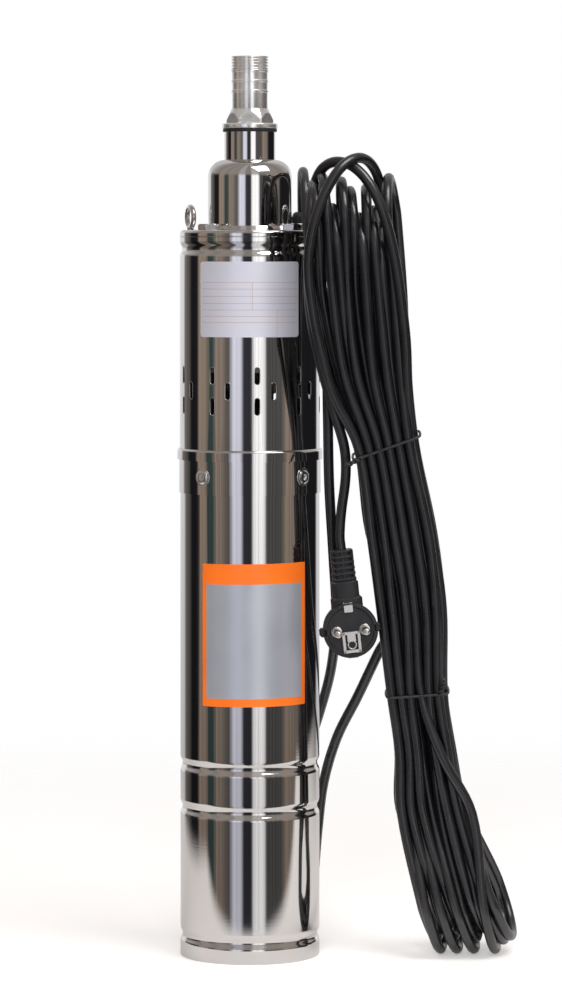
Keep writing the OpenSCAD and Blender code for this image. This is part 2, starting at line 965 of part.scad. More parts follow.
module pump_casing() {
    color("silver")
        difference() {
            rotate_extrude()
                casing_section();
            for (row = [0:2], column = [-slot_columns:slot_columns])
                at_azimuth(slot_start + column * slot_step + (row == 1 ? slot_shift : 0), casing_r - tube_wall / 2)
                    translate([0, 0, slot_row_z - row * slot_pitch])
                        intake_slot();
        }
}

// Head
module top_plate() {
    spigot_r = casing_in - fit;
    edge = plate_t / 2;
    color("silver")
        difference() {
            union() {
                rotate_extrude()
                    union() {
                        translate([0, casing_top])
                            square([casing_r, plate_t - edge]);
                        translate([0, casing_top])
                            square([casing_r - edge, plate_t]);
                        translate([casing_r - edge, plate_top - edge])
                            circle(edge);
                    }
                bar(spigot_r, spigot_z0, casing_top);
            }
            bead_cut(casing_r, head_groove_z);
            oring_groove(spigot_r, head_oring_z);
            bar(plate_bore_r, spigot_z0 - past, plate_top + past);
            bar(jacket_d / 2 + fit, spigot_z0 - past, rubber_z1);
            rod_holes(spigot_z0, plate_top);
            at_azimuth(gland_azimuth, gland_circle_r)
                bar(gland_thread_r + fit, spigot_z0 - past, plate_top + past);
            for (azimuth = eye_azimuths)
                at_azimuth(azimuth, eye_circle_r)
                    bar(eye_shank_r + fit, eye_root_z, plate_top + past);
        }
}

module head_oring() {
    color("black")
        oring(casing_in - fit, head_oring_z);
}

// Half section of the bell and neck, grown inwards by the wall
module bell_section(wall) {
    r = bell_r - wall;
    round_r = shoulder_r - wall;
    foot = plate_top - (wall > 0 ? past : 0);
    translate([0, foot])
        square([r, bell_top - shoulder_r - foot]);
    translate([0, foot])
        square([r - round_r, bell_top - wall - foot]);
    translate([r - round_r, bell_top - shoulder_r])
        circle(round_r);
    translate([0, bell_top - shoulder_r])
        square([outlet_r - wall, neck_top + (wall > 0 ? past : 0) - bell_top + shoulder_r]);
}

module outlet_bell() {
    foot_h = 1.6;
    foot_w = 1.2;
    color("silver")
        rotate_extrude()
            difference() {
                union() {
                    bell_section(0);
                    translate([0, plate_top])
                        polygon([[0, 0], [bell_r + foot_w, 0], [bell_r, foot_h + foot_w], [0, foot_h + foot_w]]);
                }
                bell_section(bell_wall);
            }
}

module outlet_gasket() {
    color("black")
        ring(gasket_r, thread_r - fit, neck_top, flange_z0);
}

module hose_tail() {
    thread_z0 = neck_top - thread_len;
    tail_r = hose_r - ridge_h;
    ridge = 1.2;
    hex_straight = 2.5;
    color("lightgray")
        difference() {
            union() {
                bar(thread_r - 2 * fit, thread_z0, flange_z0);
                bar(flange_r, flange_z0, hex_z0);
                intersection() {
                    hexagon(hex_r, hex_z0, hose_z0);
                    union() {
                        bar(hex_r, hex_z0, hex_z0 + hex_straight);
                        translate([0, 0, hex_z0 + hex_straight])
                            cylinder(r1 = hex_r, r2 = hose_r, h = hex_h - hex_straight);
                    }
                }
                bar(tail_r, hose_z0, hose_top);
                for (i = [0:ridges - 1])
                    translate([0, 0, hose_z0 + ridge_start + i * ridge_pitch])
                        bar(hose_r, -ridge / 2, ridge / 2);
                for (i = [0:end_ridges - 1])
                    translate([0, 0, hose_top - i * end_ridge_pitch])
                        bar(hose_r, -end_ridge_pitch / 2, 0);
            }
            bar(hose_bore / 2, thread_z0 - past, hose_top + past);
        }
}

module lifting_eyes() {
    color("silver")
        for (azimuth = eye_azimuths)
            at_azimuth(azimuth, eye_circle_r) {
                bar(eye_shank_r, eye_root_z + fit, eye_z - eye_ring_r);
                translate([0, 0, eye_z])
                    rotate([0, 0, eye_turn])
                        rotate([90, 0, 0])
                            rotate_extrude()
                                difference() {
                                    translate([eye_ring_r, 0])
                                        circle(eye_wire / 2);
                                    translate([0, -eye_wire])
                                        square([eye_bore / 2, 2 * eye_wire]);
                                }
            }
}

// Cable gland in the top plate
gland_hex_r = 9;
gland_pocket_h = 3;

module gland_base() {
    color("silver")
        at_azimuth(gland_azimuth, gland_circle_r)
            difference() {
                union() {
                    bar(gland_thread_r, spigot_z0, plate_top);
                    hexagon(gland_hex_r, plate_top, plate_top + gland_hex_h);
                }
                bar(lead_r, spigot_z0 - past, plate_top + gland_hex_h + past);
                bar(gland_seal_r + fit, plate_top + gland_hex_h - gland_pocket_h, plate_top + gland_hex_h + past);
            }
}

module gland_nut() {
    nut_r = gland_hex_r - 1.2;
    chamfer = 2;
    z0 = plate_top + gland_hex_h;
    color("black")
        at_azimuth(gland_azimuth, gland_circle_r)
            difference() {
                union() {
                    bar(nut_r, z0, gland_top - chamfer);
                    translate([0, 0, gland_top - chamfer])
                        cylinder(r1 = nut_r, r2 = nut_r - chamfer, h = chamfer);
                }
                bar(lead_r, z0 - past, gland_top + past);
                bar(gland_seal_r + fit, z0 - past, z0 + gland_pocket_h);
            }
}

module gland_seal() {
    z0 = plate_top + gland_hex_h;
    color("black")
        at_azimuth(gland_azimuth, gland_circle_r)
            ring(gland_seal_r, lead_r, z0 - gland_pocket_h, z0 + gland_pocket_h);
}

module inner_lead() {
    foot = 4;
    color("black")
        at_azimuth(gland_azimuth, gland_circle_r)
            bar(cable_r, head_z0 + foot, gland_top);
}

module lead_grommet() {
    lip = 1.5;
    color("black")
        at_azimuth(gland_azimuth, gland_circle_r)
            difference() {
                union() {
                    bar(gland_seal_r, head_top, cover_top);
                    bar(gland_seal_r + lip, cover_top, cover_top + lip);
                }
                bar(lead_r, head_top - past, cover_top + lip + past);
            }
}

// Cable outside the pump: round tubes swept along smooth routes, and a hank between them
function unit(v) = v / norm(v);

function bend(a, b, c, d, t) =
    0.5 * (2 * b + (c - a) * t + (2 * a - 5 * b + 4 * c - d) * t * t + (3 * b - a - 3 * c + d) * t * t * t);

function smooth(p, steps) = concat(
    [
        for (i = [0:len(p) - 2], j = [0:steps - 1])
            bend(p[max(i - 1, 0)], p[i], p[i + 1], p[min(i + 2, len(p) - 1)], j / steps)
    ],
    [p[len(p) - 1]]
);

function tangents(p) = [
    for (i = [0:len(p) - 1])
        unit(p[min(i + 1, len(p) - 1)] - p[max(i - 1, 0)])
];

function across(v) = unit(cross(v, abs(v[0]) < 0.8 ? [1, 0, 0] : [0, 1, 0]));

function carry(n, t) = unit(n - (n * t) * t);

function normals(t) = [
    for (i = 0, n = across(t[0]); i < len(t); i = i + 1, n = i < len(t) ? carry(n, t[i]) : n)
        n
];

module sweep(path, r, sides) {
    t = tangents(path);
    n = normals(t);
    last = len(path) - 1;
    points = [
        for (i = [0:last], j = [0:sides - 1])
            path[i] + r * (cos(360 * j / sides) * n[i] + sin(360 * j / sides) * cross(t[i], n[i]))
    ];
    walls = [
        for (i = [0:last - 1], j = [0:sides - 1], half = [0, 1])
            let (k = (j + 1) % sides, a = i * sides, b = a + sides)
                half == 0 ? [a + j, b + j, b + k] : [a + j, b + k, a + k]
    ];
    foot = [for (j = [0:sides - 1]) j];
    tip = [for (j = [0:sides - 1]) last * sides + sides - 1 - j];
    polyhedron(points, concat([foot], walls, [tip]));
}

module cord_lead() {
    color("black")
        sweep(smooth(lead_route, 1), cable_r, 8);
}

module cord_loop() {
    color("black")
        sweep(smooth(loop_route, 2), cable_r, 8);
}

module cord_tail() {
    color("black")
        sweep(smooth(tail_route, 1), cable_r, 8);
}

module leaning() {
    translate([0, 0, hank_depth / 2 * sin(hank_lean)])
        rotate([hank_lean, 0, 0])
            children();
}

module cord_hank() {
    color("black")
        leaning()
            rotate([90, 0, 0])
                linear_extrude(hank_depth, center = true)
                    polygon(hank_outline);
}

module hank_ties() {
    color("dimgray")
        leaning()
            for (tie = [tie_low, tie_high])
                translate([0, 0, tie[0]])
                    linear_extrude(tie_wire, center = true)
                        difference() {
                            translate([tie[1] - tie_wire - pass, -hank_depth / 2 - tie_wire - pass])
                                square([tie[2] - tie[1] + 2 * (tie_wire + pass), hank_depth + 2 * (tie_wire + pass)]);
                            translate([tie[1] - pass, -hank_depth / 2 - pass])
                                square([tie[2] - tie[1] + 2 * pass, hank_depth + 2 * pass]);
                        }
}

// Angled mains plug: pins towards -Y, cable out of the top
earth_w = 9;
earth_t = 1;
earth_l = 13;
earth_inset = 1.2;
earth_z = plug_r - earth_inset - earth_t / 2;
plug_neck = [18, 15];

module on_plug() {
    translate(plug_face)
        rotate([0, -plug_lean, plug_turn])
            children();
}

module plug_body() {
    rim = 4;
    rim_step = 0.8;
    back_h = 6;
    back_r = 13;
    guide = [4.6, 2.2];
    color("black")
        on_plug()
            difference() {
                union() {
                    rotate([-90, 0, 0])
                        union() {
                            bar(plug_r, 0, rim);
                            bar(plug_r - rim_step, rim, plug_depth - back_h);
                            translate([0, 0, plug_depth - back_h])
                                cylinder(r1 = plug_r - rim_step, r2 = back_r, h = back_h);
                        }
                    translate([-plug_neck[0] / 2, plug_mid - plug_neck[1] / 2, 0])
                        cube([plug_neck[0], plug_neck[1], neck_top_z]);
                }
                for (x = [-plug_r - past, plug_r - guide[1]])
                    translate([x, -past, -guide[0] / 2])
                        cube([guide[1] + past, plug_depth + 2 * past, guide[0]]);
                for (x = [-pin_spacing / 2, pin_spacing / 2])
                    translate([x, 0, 0])
                        rotate([-90, 0, 0])
                            bar(pin_hole_r, -past, pin_root);
                for (side = [-1, 1])
                    translate([0, 0, side * earth_z])
                        translate([-earth_w / 2 - fit, -past, -earth_t / 2 - fit])
                            cube([earth_w + 2 * fit, earth_l + past + fit, earth_t + 2 * fit]);
            }
}

module plug_sleeve() {
    ribs = 5;
    slot = 1.6;
    core_r = 4.6;
    foot = 2;
    foot_r = 8.2;
    tip_r = 7.4;
    pitch = (sleeve_top_z - neck_top_z - foot - slot / 2) / ribs;
    color("black")
        on_plug()
            translate([0, plug_mid, 0])
                difference() {
                    translate([0, 0, neck_top_z])
                        cylinder(r1 = foot_r, r2 = tip_r, h = sleeve_top_z - neck_top_z);
                    for (i = [0:ribs - 1])
                        translate([0, 0, neck_top_z + foot + i * pitch])
                            ring(2 * foot_r, core_r, 0, slot);
                }
}

plug_pin_r = 2.4;
plug_pin_l = 19;
pin_root = 6;
pin_hole_r = plug_pin_r + fit;

module plug_pins() {
    color("silver")
        on_plug()
            for (x = [-pin_spacing / 2, pin_spacing / 2])
                translate([x, 0, 0])
                    rotate([90, 0, 0]) {
                        bar(plug_pin_r, -pin_root + fit, plug_pin_l - plug_pin_r);
                        translate([0, 0, plug_pin_l - plug_pin_r])
                            sphere(plug_pin_r);
                    }
}

module plug_earth() {
    color("silver")
        on_plug()
            for (side = [-1, 1])
                translate([-earth_w / 2, 0, side * earth_z - earth_t / 2])
                    cube([earth_w, earth_l, earth_t]);
}

motor_tube();
base_cap();
base_oring();
run_capacitor();
lower_bracket();
lower_bearing_outer();
lower_bearing_balls();
lower_bearing_inner();
stator_core();
stator_winding();
rotor_core();
rotor_end_rings();
motor_shaft();
motor_head();
upper_bearing_outer();
upper_bearing_balls();
upper_bearing_inner();
seal_cover();
seal_seat();
seal_ring();
seal_spring();
seal_collar();
joint_sleeve();
joint_screws();
coupling_hub();
lower_drive_pin();
connecting_rod();
rod_boot();
rotor_socket();
upper_drive_pin();
screw_rotor();
rubber_stator();
stator_jacket();
suction_ring();
tie_rods();
tie_spacers();
tie_nuts();
pump_casing();
top_plate();
head_oring();
outlet_bell();
outlet_gasket();
hose_tail();
lifting_eyes();
gland_base();
gland_nut();
gland_seal();
inner_lead();
lead_grommet();
cord_lead();
cord_hank();
cord_loop();
cord_tail();
hank_ties();
plug_body();
plug_sleeve();
plug_pins();
plug_earth();
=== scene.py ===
"""Dresses a borehole submersible pump: finishes, cable, plug, plates and studio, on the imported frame."""

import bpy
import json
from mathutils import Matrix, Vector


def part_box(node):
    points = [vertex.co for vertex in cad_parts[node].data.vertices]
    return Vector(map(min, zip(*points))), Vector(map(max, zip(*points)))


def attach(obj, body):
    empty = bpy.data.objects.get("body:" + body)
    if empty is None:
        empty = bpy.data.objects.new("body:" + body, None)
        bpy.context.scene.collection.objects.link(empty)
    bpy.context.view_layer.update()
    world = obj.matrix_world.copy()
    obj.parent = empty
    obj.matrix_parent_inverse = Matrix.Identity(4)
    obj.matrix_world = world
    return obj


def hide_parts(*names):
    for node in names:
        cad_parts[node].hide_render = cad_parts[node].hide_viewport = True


bl_info = {
    "name": "Borehole pump",
    "version": (1, 0, 0),
    "blender": (4, 5, 0),
    "location": "View3D > Sidebar > Pump",
    "description": "Finishes, cable, plug, plates and studio for a borehole submersible pump",
    "category": "Object",
}

import json
import math
import random

import bmesh
import bpy
from bpy.props import FloatProperty, FloatVectorProperty, PointerProperty
from mathutils import Matrix, Vector

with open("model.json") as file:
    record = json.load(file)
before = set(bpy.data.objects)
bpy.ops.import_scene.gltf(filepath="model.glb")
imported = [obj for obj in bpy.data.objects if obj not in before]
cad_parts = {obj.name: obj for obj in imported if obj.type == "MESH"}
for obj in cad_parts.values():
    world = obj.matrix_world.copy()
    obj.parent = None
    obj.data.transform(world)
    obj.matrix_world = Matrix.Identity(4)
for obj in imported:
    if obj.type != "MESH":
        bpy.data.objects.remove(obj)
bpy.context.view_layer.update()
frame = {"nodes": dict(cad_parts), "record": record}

# Radii and heights that the frame gives, in metres
CASING_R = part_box("top_plate")[1].x
TUBE_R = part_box("motor_tube")[1].x
PLATE_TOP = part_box("tie_nuts")[0].z
NUT_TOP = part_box("tie_nuts")[1].z
THREAD_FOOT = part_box("hose_tail")[0].z
HOSE_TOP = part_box("hose_tail")[1].z
FLANGE_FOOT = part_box("outlet_gasket")[1].z
FLANGE_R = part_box("hose_tail")[1].x
GLAND_LOW, GLAND_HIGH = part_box("gland_nut")
# Top of the hose tail's flange, and the height of the hexagon on it
FLANGE_TOP = FLANGE_FOOT + 0.0034
HEX_H = 0.01

# Places of the pieces round the axis: degrees from the front towards +X
ROD_AZIMUTHS = (-45, 45, 135, 225)
SCREW_AZIMUTHS = (-41, 49, 139, 229)
ROD_CIRCLE_R = 0.0392
SCREW_SEAT_R = 0.04813
SCREW_Z = 0.329


# Mesh helpers


def on_circle(azimuth, r, z=0.0):
    """The point at that azimuth and radius round the pump's axis."""
    a = math.radians(azimuth)
    return Vector((r * math.sin(a), -r * math.cos(a), z))


def filleted(corners, steps=5):
    """Profile points from (x, y, fillet radius) corners, each fillet as an arc."""
    points = []
    for i, (x, y, fillet) in enumerate(corners):
        here = Vector((x, y))
        if not fillet or i in (0, len(corners) - 1):
            points.append(here)
            continue
        back = (Vector(corners[i - 1][:2]) - here).normalized()
        ahead = (Vector(corners[i + 1][:2]) - here).normalized()
        half = back.angle(ahead) / 2
        reach = fillet / math.tan(half)
        centre = here + (back + ahead).normalized() * (fillet / math.sin(half))
        start = here + back * reach - centre
        end = here + ahead * reach - centre
        sweep = start.angle_signed(end)
        for k in range(steps + 1):
            points.append(centre + Matrix.Rotation(-sweep * k / steps, 2) @ start)
    return points


def join_rings(bm, low, high, closed=True):
    """Quads between two rows of vertices; a closed row joins its last vertex to its first."""
    count = len(low)
    for j in range(count if closed else count - 1):
        k = (j + 1) % count
        bm.faces.new((low[j], low[k], high[k], high[j]))


def add_rings(bm, rings, cap_ends=False):
    """Joins rings of points that all have the same count, in their order."""
    made = [[bm.verts.new(p) for p in ring] for ring in rings]
    for low, high in zip(made, made[1:]):
        join_rings(bm, low, high)
    if cap_ends:
        bm.faces.new(list(reversed(made[0])))
        bm.faces.new(made[-1])
    return made


def ring_round(matrix, radii, z):
    """A ring of points round the local Z axis, one for each radius, at even angles."""
    points = []
    for j, r in enumerate(radii):
        a = 2 * math.pi * j / len(radii)
        points.append(matrix @ Vector((r * math.cos(a), r * math.sin(a), z)))
    return points


def hexagon_radii(corner_r, segments):
    """Distances from the middle of a hexagon to its sides, at even angles."""
    radii = []
    for j in range(segments):
        turned = 2 * math.pi * j / segments % (math.pi / 3) - math.pi / 6
        radii.append(corner_r * math.cos(math.pi / 6) / math.cos(turned))
    return radii


def add_lathe(bm, profile, matrix=Matrix(), segments=96, closed=True):
    """Turns an (r, z) profile round the local Z axis; a closed profile joins its last point to its first."""
    made = add_rings(bm, [ring_round(matrix, [r] * segments, z) for r, z in profile])
    if closed:
        join_rings(bm, made[-1], made[0])
    return made


def add_hexagon(bm, matrix, r, z0, z1, hole_r, top, foot, segments=96, slope=1.0):
    """A hexagon with a round hole, and corners turned off by a cone at its top and at its foot."""
    sides = hexagon_radii(r, segments)
    hole = [hole_r] * segments
    steps = 10
    heights = [z0 + foot * k / steps for k in range(steps)] + [z0 + foot]
    heights += [z1 - top + top * k / steps for k in range(steps + 1)]
    rings = [ring_round(matrix, hole, z0)]
    for z in heights:
        cone = r - slope * max(0, z - (z1 - top)) - max(0, z0 + foot - z)
        rings.append(ring_round(matrix, [min(side, cone) for side in sides], z))
    made = add_rings(bm, rings + [ring_round(matrix, hole, z1)])
    join_rings(bm, made[-1], made[0])


def rounded_rectangle(w, d, r, steps=4):
    """Corner points of a w by d rectangle with rounded corners, round the origin."""
    points = []
    for quarter, (sx, sy) in enumerate(((1, 1), (-1, 1), (-1, -1), (1, -1))):
        for k in range(steps + 1):
            a = math.pi / 2 * (quarter + k / steps)
            points.append((sx * (w / 2 - r) + r * math.cos(a), sy * (d / 2 - r) + r * math.sin(a)))
    return points


def add_block(bm, matrix, w, d, z0, z1, r, edge):
    """An upright block with rounded corners and softened top and bottom edges."""
    stations = ((z0, -edge), (z0 + edge, 0), (z1 - edge, 0), (z1, -edge))
    rings = [
        [
            matrix @ Vector((x, y, z))
            for x, y in rounded_rectangle(w + 2 * grow, d + 2 * grow, max(r + grow, 1e-5))
        ]
        for z, grow in stations
    ]
    add_rings(bm, rings, cap_ends=True)


def add_patch(bm, radius, az0, az1, z0, z1, corner, thick, columns=48, slant=0.0):
    """A thin plate bent round the pump's axis, with rounded corners; slant lifts its right end."""
    half_w = math.radians(az1 - az0) / 2 * radius
    mid = math.radians(az0 + az1) / 2
    heights = [z0, z1]
    if corner:
        steps = 6
        bends = [corner * (1 - math.cos(math.pi / 2 * k / steps)) for k in range(steps + 1)]
        heights = [z0 + b for b in bends] + [z1 - b for b in reversed(bends)]
    grid = []
    for z in heights:
        into = max(0.0, corner - min(z - z0, z1 - z))
        wide = half_w - corner + math.sqrt(max(0.0, corner**2 - into**2))
        row = []
        for j in range(columns + 1):
            share = wide / half_w * (2 * j / columns - 1)
            a = mid + half_w / radius * share
            row.append(bm.verts.new((radius * math.sin(a), -radius * math.cos(a), z + slant * share)))
        grid.append(row)
    for low, high in zip(grid, grid[1:]):
        join_rings(bm, low, high, closed=False)
    edge = grid[0] + [row[-1] for row in grid[1:-1]] + grid[-1][::-1] + [row[0] for row in grid[-2:0:-1]]
    shrink = 1 - thick / radius
    inner = [bm.verts.new((v.co.x * shrink, v.co.y * shrink, v.co.z)) for v in edge]
    join_rings(bm, inner, edge)


def linked(name, data):
    """A new object of that data, in the scene."""
    made = bpy.data.objects.new(name, data)
    bpy.context.scene.collection.objects.link(made)
    return made


def fitted(name, data, finish, stands_for):
    """A piece in that finish, which rides on the pump in place of the frame's nodes that it stands for."""
    data.materials.append(finishes()[finish])
    made = linked(name, data)
    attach(made, "root")
    if stands_for:
        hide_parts(*stands_for)
    return made


def piece(name, bm, finish, stands_for=(), sharp=35):
    """Makes a piece of the mesh, smooth with sharp edges, in that finish."""
    bmesh.ops.recalc_face_normals(bm, faces=bm.faces)
    mesh = bpy.data.meshes.new(name)
    bm.to_mesh(mesh)
    bm.free()
    mesh.shade_smooth()
    mesh.set_sharp_from_angle(angle=math.radians(sharp))
    fitted(name, mesh, finish, stands_for)


def curve_handles(route):
    """Handles a third of the way to each neighbour, along the line from one neighbour to the other."""
    handles = []
    for i, here in enumerate(route):
        back = route[max(i - 1, 0)]
        ahead = route[min(i + 1, len(route) - 1)]
        come, go = here - back, ahead - here
        along = (come + go).normalized()
        handles.append((here - along * come.length / 3, here + along * go.length / 3))
    return handles


def wire(name, routes, r, finish, stands_for=(), closed=False, steps=8, round_steps=4):
    """Makes a round wire or cable that follows smooth routes of points."""
    curve = bpy.data.curves.new(name, "CURVE")
    curve.dimensions = "3D"
    curve.bevel_depth = r
    curve.bevel_resolution = round_steps
    curve.resolution_u = steps
    curve.use_fill_caps = True
    for route in routes:
        spline = curve.splines.new("BEZIER")
        spline.bezier_points.add(len(route) - 1)
        for knot, place in zip(spline.bezier_points, route):
            knot.co = place
            knot.handle_left_type = knot.handle_right_type = "AUTO" if closed else "FREE"
        if not closed:
            for knot, handles in zip(spline.bezier_points, curve_handles(route)):
                knot.handle_left, knot.handle_right = handles
        spline.use_cyclic_u = closed
    return fitted(name, curve, finish, stands_for)


# Materials


def add_node(tree, kind, sockets=None, **settings):
    """Adds a shader node; a socket given another socket is linked to it, and any other value is set."""
    made = tree.nodes.new(kind)
    for key, value in settings.items():
        setattr(made, key, value)
    for key, value in (sockets or {}).items():
        if isinstance(value, bpy.types.NodeSocket):
            tree.links.new(value, made.inputs[key])
        else:
            made.inputs[key].default_value = value
    return made


def ramp_between(tree, value, low, high, to_low=0.0, to_high=1.0, kind="SMOOTHSTEP"):
    """Maps a value from one pair of limits to another, as a soft step or in a straight line."""
    made = add_node(
        tree, "ShaderNodeMapRange",
        {"Value": value, "From Min": low, "From Max": high, "To Min": to_low, "To Max": to_high},
        interpolation_type=kind,
    )
    return made.outputs["Result"]


def product(tree, *values):
    """The product of several values."""
    result = values[0]
    for value in values[1:]:
        result = add_node(tree, "ShaderNodeMath", {0: result, 1: value}, operation="MULTIPLY").outputs[0]
    return result


# Depth of a finish's relief at full strength
RELIEF_DEPTH = 0.0004


def surface(
    name, light, dark, scale, rough, metallic=0.0, stretch=(1, 1, 1), grain=600, relief=0.05, specular=0.5
):
    """A surface whose colour and roughness drift with a noise, with a finer noise as its relief."""
    title = name + "_finish"
    made = bpy.data.materials.get(title)
    if made:
        return made
    made = bpy.data.materials.new(title)
    made.use_nodes = True
    tree = made.node_tree
    sockets = tree.nodes["Principled BSDF"].inputs
    sockets["Metallic"].default_value = metallic
    sockets["Specular IOR Level"].default_value = specular
    places = add_node(tree, "ShaderNodeTexCoord").outputs["Object"]
    noise = add_node(tree, "ShaderNodeTexNoise", {"Vector": places, "Scale": scale, "Detail": 3})
    drift = noise.outputs["Fac"]
    ramp = add_node(tree, "ShaderNodeValToRGB", {"Fac": drift})
    for stop, position, tone in zip(ramp.color_ramp.elements, (0.35, 0.65), (dark, light)):
        stop.position = position
        stop.color = (*tone, 1)
    tree.links.new(ramp.outputs["Color"], sockets["Base Color"])
    tree.links.new(ramp_between(tree, drift, 0.3, 0.7, *rough, kind="LINEAR"), sockets["Roughness"])
    drawn = add_node(tree, "ShaderNodeMapping", {"Vector": places, "Scale": stretch}).outputs["Vector"]
    fine = add_node(tree, "ShaderNodeTexNoise", {"Vector": drawn, "Scale": grain, "Detail": 2}).outputs["Fac"]
    bump = add_node(tree, "ShaderNodeBump", {"Height": fine, "Strength": relief, "Distance": RELIEF_DEPTH})
    tree.links.new(bump.outputs["Normal"], sockets["Normal"])
    return made


def finishes():
    """The pump's materials, by the record's slot names, and those of its plates."""
    body = bpy.context.scene.pump_body
    cable = bpy.context.scene.pump_cable
    rough = body.steel_roughness
    drawn = (0.05, 0.05, 3)
    # Light tone, dark tone, size of the drift and roughness, then what differs from a plain dull surface
    looks = {
        "polished_steel": (
            body.steel_colour, [0.96 * c for c in body.steel_colour], 9, (rough, rough + 0.04),
            {"metallic": 1.0, "stretch": (0.02, 0.02, 4), "grain": 260, "relief": 0.012},
        ),
        "turned_steel": (
            (0.8, 0.79, 0.78), (0.7, 0.69, 0.68), 40, (0.16, 0.28),
            {"metallic": 1.0, "stretch": drawn, "grain": 500, "relief": 0.08},
        ),
        # Dark, dull steel for the pieces inside the casing: painted shade that makes the slots look dark
        # inside
        "slot_shade_steel": (
            (0.2, 0.195, 0.19), (0.13, 0.125, 0.12), 60, (0.4, 0.52),
            {"metallic": 1.0, "stretch": drawn, "grain": 500, "relief": 0.1},
        ),
        "bright_fitting": (
            body.fitting_colour, [0.92 * c for c in body.fitting_colour], 60, (0.17, 0.26),
            {"metallic": 0.85, "stretch": drawn, "grain": 700, "relief": 0.05},
        ),
        "cast_bracket": (
            (0.3, 0.31, 0.32), (0.2, 0.21, 0.22), 90, (0.5, 0.65),
            {"metallic": 0.8, "grain": 900, "relief": 0.35},
        ),
        "plate_stack": (
            (0.3, 0.3, 0.31), (0.2, 0.2, 0.21), 30, (0.35, 0.5),
            {"metallic": 0.9, "stretch": (1, 1, 160), "grain": 18, "relief": 0.4},
        ),
        "copper_winding": (
            (0.55, 0.2, 0.07), (0.38, 0.12, 0.04), 60, (0.28, 0.4),
            {"metallic": 0.9, "stretch": (1, 1, 0.05), "grain": 900, "relief": 0.5},
        ),
        "end_ring_alloy": (
            (0.6, 0.61, 0.63), (0.48, 0.49, 0.51), 80, (0.4, 0.55),
            {"metallic": 0.9, "grain": 700, "relief": 0.25},
        ),
        "seal_rubber": (
            (0.02, 0.02, 0.022), (0.012, 0.012, 0.013), 120, (0.5, 0.66),
            {"grain": 1600, "relief": 0.2, "specular": 0.4},
        ),
        "seal_ceramic": ((0.78, 0.76, 0.7), (0.7, 0.68, 0.62), 90, (0.2, 0.3), {"grain": 1200}),
        "capacitor_case": (
            (0.6, 0.6, 0.58), (0.5, 0.5, 0.49), 50, (0.35, 0.45), {"grain": 800, "relief": 0.1},
        ),
        "cable_sheath": (
            cable.sheath_colour, [0.6 * c for c in cable.sheath_colour], 55, (0.25, 0.36),
            {"grain": 1500, "relief": 0.1, "specular": 1.0},
        ),
        "plug_plastic": (
            (0.016, 0.016, 0.018), (0.011, 0.011, 0.012), 90, (0.36, 0.48), {"grain": 2600, "relief": 0.16},
        ),
        "plug_contact": (
            (0.82, 0.8, 0.77), (0.72, 0.7, 0.67), 200, (0.2, 0.32), {"metallic": 1.0, "grain": 1500},
        ),
        "tie_wire": (
            (0.03, 0.03, 0.032), (0.015, 0.015, 0.016), 150, (0.38, 0.5), {"grain": 1800, "relief": 0.15},
        ),
        "plate_satin": (
            (0.74, 0.74, 0.82), (0.69, 0.69, 0.77), 25, (0.4, 0.48),
            {"metallic": 0.45, "stretch": drawn, "grain": 900, "relief": 0.04},
        ),
        "plate_ruling": ((0.5, 0.28, 0.26), (0.42, 0.22, 0.21), 60, (0.4, 0.5), {"grain": 900}),
        "sticker_border": (
            body.sticker_colour, [0.9 * c for c in body.sticker_colour], 40, (0.34, 0.44), {"grain": 900},
        ),
        "sticker_panel": (
            (0.54, 0.56, 0.62), (0.48, 0.5, 0.56), 20, (0.3, 0.38),
            {"metallic": 0.55, "grain": 700, "relief": 0.04},
        ),
    }
    return {name: surface(name, *tones, **rest) for name, (*tones, rest) in looks.items()}


# Sizes and colours that a user may change


class PumpBodySettings(bpy.types.PropertyGroup):
    """Finish of the pump's metal and of its plates."""

    steel_colour: FloatVectorProperty(
        name="Steel", description="Colour of the polished steel", subtype="COLOR", size=3,
        default=(0.72, 0.7, 0.69),
    )
    steel_roughness: FloatProperty(
        name="Steel roughness", description="Least roughness of the polished steel", subtype="FACTOR",
        default=0.045, min=0, max=1,
    )
    fitting_colour: FloatVectorProperty(
        name="Hose tail", description="Colour of the turned hose tail", subtype="COLOR", size=3,
        default=(0.95, 0.94, 0.92),
    )
    sticker_colour: FloatVectorProperty(
        name="Sticker border", description="Colour of the sticker's border", subtype="COLOR", size=3,
        default=(0.95, 0.18, 0.014),
    )


class PumpCableSettings(bpy.types.PropertyGroup):
    """The mains cable and the hank that it is folded into."""

    length: FloatProperty(
        name="Length", description="Length of the mains cable", unit="LENGTH", default=15.0, min=1
    )
    diameter: FloatProperty(
        name="Diameter", description="Diameter of the cable's sheath", unit="LENGTH", default=0.007, min=0.003
    )
    sheath_colour: FloatVectorProperty(
        name="Sheath", description="Colour of the cable's sheath", subtype="COLOR", size=3,
        default=(0.005, 0.0055, 0.0075),
    )
    tie_diameter: FloatProperty(
        name="Tie", description="Thickness of the ties' wire", unit="LENGTH", default=0.0018, min=0.0005
    )


class PumpPlugSettings(bpy.types.PropertyGroup):
    """The angled mains plug."""

    radius: FloatProperty(
        name="Radius", description="Radius of the plug's face", unit="LENGTH", default=0.0186
    )
    depth: FloatProperty(name="Depth", description="Depth of the plug's body", unit="LENGTH", default=0.024)
    pin_length: FloatProperty(name="Pins", description="Length of the pins", unit="LENGTH", default=0.019)


